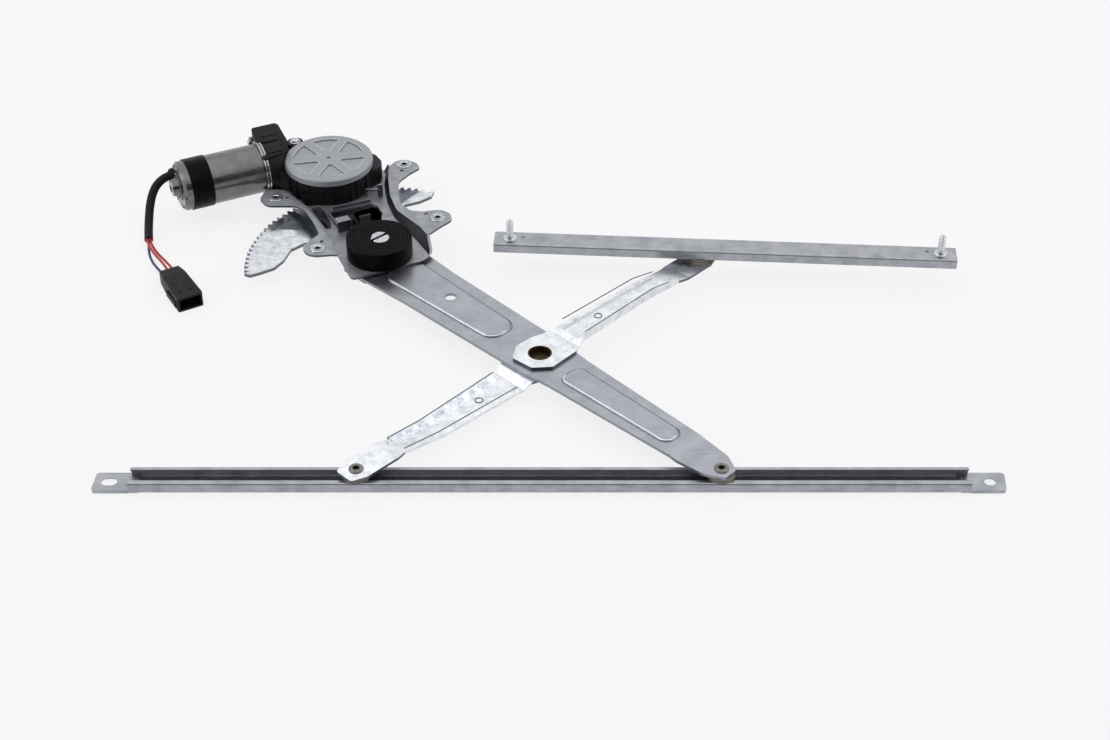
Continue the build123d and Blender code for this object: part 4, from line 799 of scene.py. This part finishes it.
# End cap trim: six stakes that hold the cap and a ring pressed round its bearing boss,
# in the can's own drawn steel.
CAP_FACE = CAN_BACK - 5.0
STAKES = 6
STAKE_START = 30
STAKE_SIZE = (2.4, 5.0, 1.2)
STAKE_INSET = 3.6
PRESSED_RING = [
    (12.2, CAP_FACE + 0.4), (12.2, CAP_FACE - 0.7), (11.4, CAP_FACE - 1.1), (10.4, CAP_FACE - 1.1),
    (9.6, CAP_FACE - 0.7), (9.6, CAP_FACE + 0.4),
]
form = bmesh.new()
for k in range(STAKES):
    turn = about_z(STAKE_START + 360 / STAKES * k)
    block(form, STAKE_SIZE, MOTOR @ turn @ at(CAN_R - STAKE_INSET, 0, CAP_FACE + 0.1), 0.4)
lathe(form, PRESSED_RING, MOTOR, steps=60)
add_piece("end_cap_stakes", form, drawn_can, "base")

# Bearing: the boss ends in a bright turned ring round a centre of dark, oiled felt.
BOSS_END = CAP_FACE - 6.0
BEARING_BACK = BOSS_END + 0.4
FELT_R = 3.4
BEARING_RING = [
    (FELT_R, BEARING_BACK), (6.2, BEARING_BACK), (6.2, BOSS_END - 0.5), (5.6, BOSS_END - 0.8),
    (4.0, BOSS_END - 0.8), (FELT_R, BOSS_END - 0.5), (FELT_R, BEARING_BACK),
]
form = bmesh.new()
lathe(form, rod(FELT_R, BEARING_BACK, BOSS_END - 0.05), MOTOR, steps=32)
add_piece("bearing_felt", form, dark_bore, "base")
form = bmesh.new()
lathe(form, BEARING_RING, MOTOR, steps=48)
add_piece("bearing_ring", form, bright_zinc, "base")

# Motor screws: two hexagon-head screws with pressed washers that clamp the can's
# flange to the gearbox, bright zinc plated.
LUG_ANGLE = 35
LUG_CIRCLE = 25.5
SCREW_END = -46.4
SCREW_R = 1.8
WASHER_R = 3.0
WASHER_FACE = CAN_FRONT - 0.6
SCREW_PROFILE = [
    (0, WASHER_FACE), (WASHER_R, WASHER_FACE), (WASHER_R, CAN_FRONT), (SCREW_R, CAN_FRONT),
    (SCREW_R, SCREW_END), (0, SCREW_END),
]
HEX_HEIGHT = 1.4
SCREW_HEX_R = 2.6


def prism(form, sides, radius, height, rounding, place):
    """A prism with rounded edges, such as a hexagon head."""
    body = bmesh.new()
    bmesh.ops.create_cone(body, cap_ends=True, segments=sides, radius1=radius, radius2=radius, depth=height)
    soften(body, rounding)
    join(form, body, place)


form = bmesh.new()
for side in (1, -1):
    place = MOTOR @ about_z(LUG_ANGLE) @ at(0, side * LUG_CIRCLE, 0)
    lathe(form, SCREW_PROFILE, place, steps=32)
    prism(form, 6, SCREW_HEX_R, HEX_HEIGHT, 0.2, place @ at(0, 0, WASHER_FACE - HEX_HEIGHT / 2))
motor_screws = add_piece("motor_hex_screws", form, bright_zinc, "base")
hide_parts("motor_screws")

# Housing screws: pan-head screws come up through the plate. The long one ends in a
# flanged nut on its boss behind the cover, with the screw's tip showing in it.
HOUSING_SCREWS = [(-16.4, 163.0, 43.6), (38.0, 118.0, 28.5), (-26.0, 101.0, 28.5)]
PLATE_BOTTOM = 18.0
PAN_RIM = PLATE_BOTTOM - 1.2
PAN_FACE = PLATE_BOTTOM - 2.2
SHANK_R = 2.6
NUT_FLANGE_R = 4.6
NUT_HEX_R = 3.9
TIP_R = 1.9
form = bmesh.new()
for u, v, end in HOUSING_SCREWS:
    profile = [
        (0, PAN_RIM), (1.6, PAN_RIM), (1.6, PAN_FACE), (3.4, PAN_FACE), (4.4, PAN_RIM),
        (4.6, PLATE_BOTTOM), (SHANK_R, PLATE_BOTTOM), (SHANK_R, end), (0, end),
    ]
    lathe(form, profile, PLATE @ at(u, v, 0), steps=36)
u, v, end = HOUSING_SCREWS[0]
place = PLATE @ at(u, v, 0)
flange = [(2.4, end), (NUT_FLANGE_R, end), (NUT_FLANGE_R, end + 0.5), (4.0, end + 0.8), (2.4, end + 0.8)]
lathe(form, flange, place, steps=36)
prism(form, 6, NUT_HEX_R, HEX_HEIGHT, 0.3, place @ at(0, 0, end + HEX_HEIGHT))
lathe(form, rod(TIP_R, end, end + 2.2), place, steps=24)
housing_screws = add_piece("housing_pan_screws", form, bright_zinc, "base")
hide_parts("housing_screws")

# Inside the gearbox and motor: plated shafts and pinion, copper commutator, pressed
# ferrite magnets and the laminated stack of the armature.
copper = metal("copper_segments", "#c07a4e", "#8f5634", 3.0, 0.4, 0.3)
ferrite = metal("ferrite_block", "#3c3c3f", "#262628", 4.0, 0.6, 0.6)
finish_node(["output_shaft", "output_pinion", "rotor_shaft"], bright_zinc)
finish_node(["commutator"], copper)
finish_node(["armature", "motor_magnets"], ferrite)

# Worm thread: rolled on the rotor's plated shaft. It turns with the rotor and drives
# the nylon worm wheel.
WORM_R = (5.4, 4.5)
WORM_PITCH = 3.2
WORM_TURNS = 11.0
form = bmesh.new()
thread(form, *WORM_R, WORM_PITCH, WORM_TURNS, MOTOR @ at(0, 0, -WORM_PITCH * WORM_TURNS / 2), steps=28)
add_piece("worm_thread", form, bright_zinc, "rotor")

# Lead: an extruded EPDM sleeve over three wires. It leaves a grommet in the motor's
# end cap, drops to the table and ends open before the plug. It is matt near-black.
SLEEVE_ROUTE = [
    (-0.18248, 0.10028, 0.0360), (-0.19063, 0.09647, 0.0360), (-0.1990, 0.0910, 0.0312),
    (-0.2030, 0.0840, 0.0246), (-0.2045, 0.0756, 0.0170), (-0.2046, 0.0666, 0.0102),
    (-0.2039, 0.0566, 0.0056), (-0.2020, 0.0446, 0.0041),
]
SLEEVE_RADIUS = 0.0037


def cord_piece(name, route, radius, material):
    """A round cord on one smooth NURBS line through the route's control points."""
    curve = bpy.data.curves.new(name, "CURVE")
    curve.dimensions = "3D"
    curve.bevel_depth = radius
    curve.bevel_resolution = 5
    curve.resolution_u = 16
    curve.use_fill_caps = True
    spline = curve.splines.new("NURBS")
    spline.points.add(len(route) - 1)
    for point, place in zip(spline.points, route):
        point.co = (*place, 1.0)
    spline.order_u = 3
    spline.use_endpoint_u = True
    piece = bpy.data.objects.new(name, curve)
    bpy.context.scene.collection.objects.link(piece)
    curve.materials.append(material)
    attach(piece, "base")
    return piece


DUST_MM = 1.2
rubber = speckled("extruded_epdm", "#070708", "#161618", DUST_MM, 0.6, relief_mm=RELIEF_MM, gloss=DULL)
finish_node(["lead_grommet"], rubber)
sleeve = cord_piece("rubber_sleeve", SLEEVE_ROUTE, SLEEVE_RADIUS, rubber)
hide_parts("lead_sleeve")

# Grommet collar: the moulded lip of the grommet at the cap, where the sleeve leaves it.
COLLAR_PROFILE = [(3.8, 3.6), (5.6, 3.6), (5.9, 4.4), (5.3, 6.4), (4.4, 7.0), (3.8, 6.8)]


def looking_along(start, end):
    """A turn of Z to the line from one point to another."""
    return (Vector(end) - Vector(start)).to_track_quat("Z", "Y").to_matrix().to_4x4()


form = bmesh.new()
place = Matrix.Translation(Vector(SLEEVE_ROUTE[0]) * 1000) @ looking_along(*SLEEVE_ROUTE[:2])
lathe(form, COLLAR_PROFILE, place, steps=36)
add_piece("grommet_collar", form, rubber, "base")

# Wires: PVC insulation, smooth and a little glossy. Each enters the plug through a
# small ribbed silicone seal.
RED_ROUTE = [
    (-0.2009, 0.0440, 0.0053), (-0.1980, 0.0356, 0.0046), (-0.1906, 0.0226, 0.0042),
    (-0.1800, 0.0072, 0.0056), (-0.1719, -0.0066, 0.0065),
]
PINK_ROUTE = [
    (-0.2033, 0.0440, 0.0052), (-0.2004, 0.0346, 0.0048), (-0.1932, 0.0215, 0.0046),
    (-0.1830, 0.0056, 0.0058), (-0.1758, -0.0088, 0.0065),
]
BLUE_ROUTE = [
    (-0.2021, 0.0440, 0.0026), (-0.2008, 0.0332, 0.0019), (-0.1962, 0.0175, 0.0019),
    (-0.1880, 0.0010, 0.0044), (-0.1802, -0.0112, 0.0060),
]
WIRE_RADIUS = 0.0011
# Name, route, length, light and dark tone, and the slot of each wire.
WIRES = [
    ("wire_red", RED_ROUTE, 0.0584, "#d0141c", "#a00e14", "red_insulation"),
    ("wire_pink", PINK_ROUTE, 0.0597, "#d8303a", "#b02028", "pink_insulation"),
    ("wire_blue", BLUE_ROUTE, 0.0601, "#1c2c78", "#101c50", "blue_insulation"),
]
SEAL_RADIUS = 1.9
SEAL_LENGTH = 2.2
# Place along the seal and width of each of its rings, as shares.
SEAL_RINGS = [(0.9, 1.0), (0.5, 0.86), (0.1, 1.0)]
RING_SHARE = 0.42
MARK_MM = 3.0
for name, route, length, light, dark, wire_slot in WIRES:
    pvc = speckled("pvc_" + name.removeprefix("wire_"), light, dark, MARK_MM, 0.35, detail=2.0)
    wire = cord_piece(name + "_pvc", route, WIRE_RADIUS, pvc)
    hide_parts(name)
    end = Vector(route[-1]) * 1000
    turn = looking_along(route[-2], route[-1])
    form = bmesh.new()
    for share, wide in SEAL_RINGS:
        place = Matrix.Translation(end) @ turn @ at(0, 0, -SEAL_LENGTH * share)
        prism(form, 20, SEAL_RADIUS * wide, SEAL_LENGTH * RING_SHARE, 0.15, place)
    ends = [add_piece(name + "_seal", form, rubber, "base")]
    if name == "wire_red":
        ends += [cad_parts["connector_body"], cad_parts["connector_core"]]
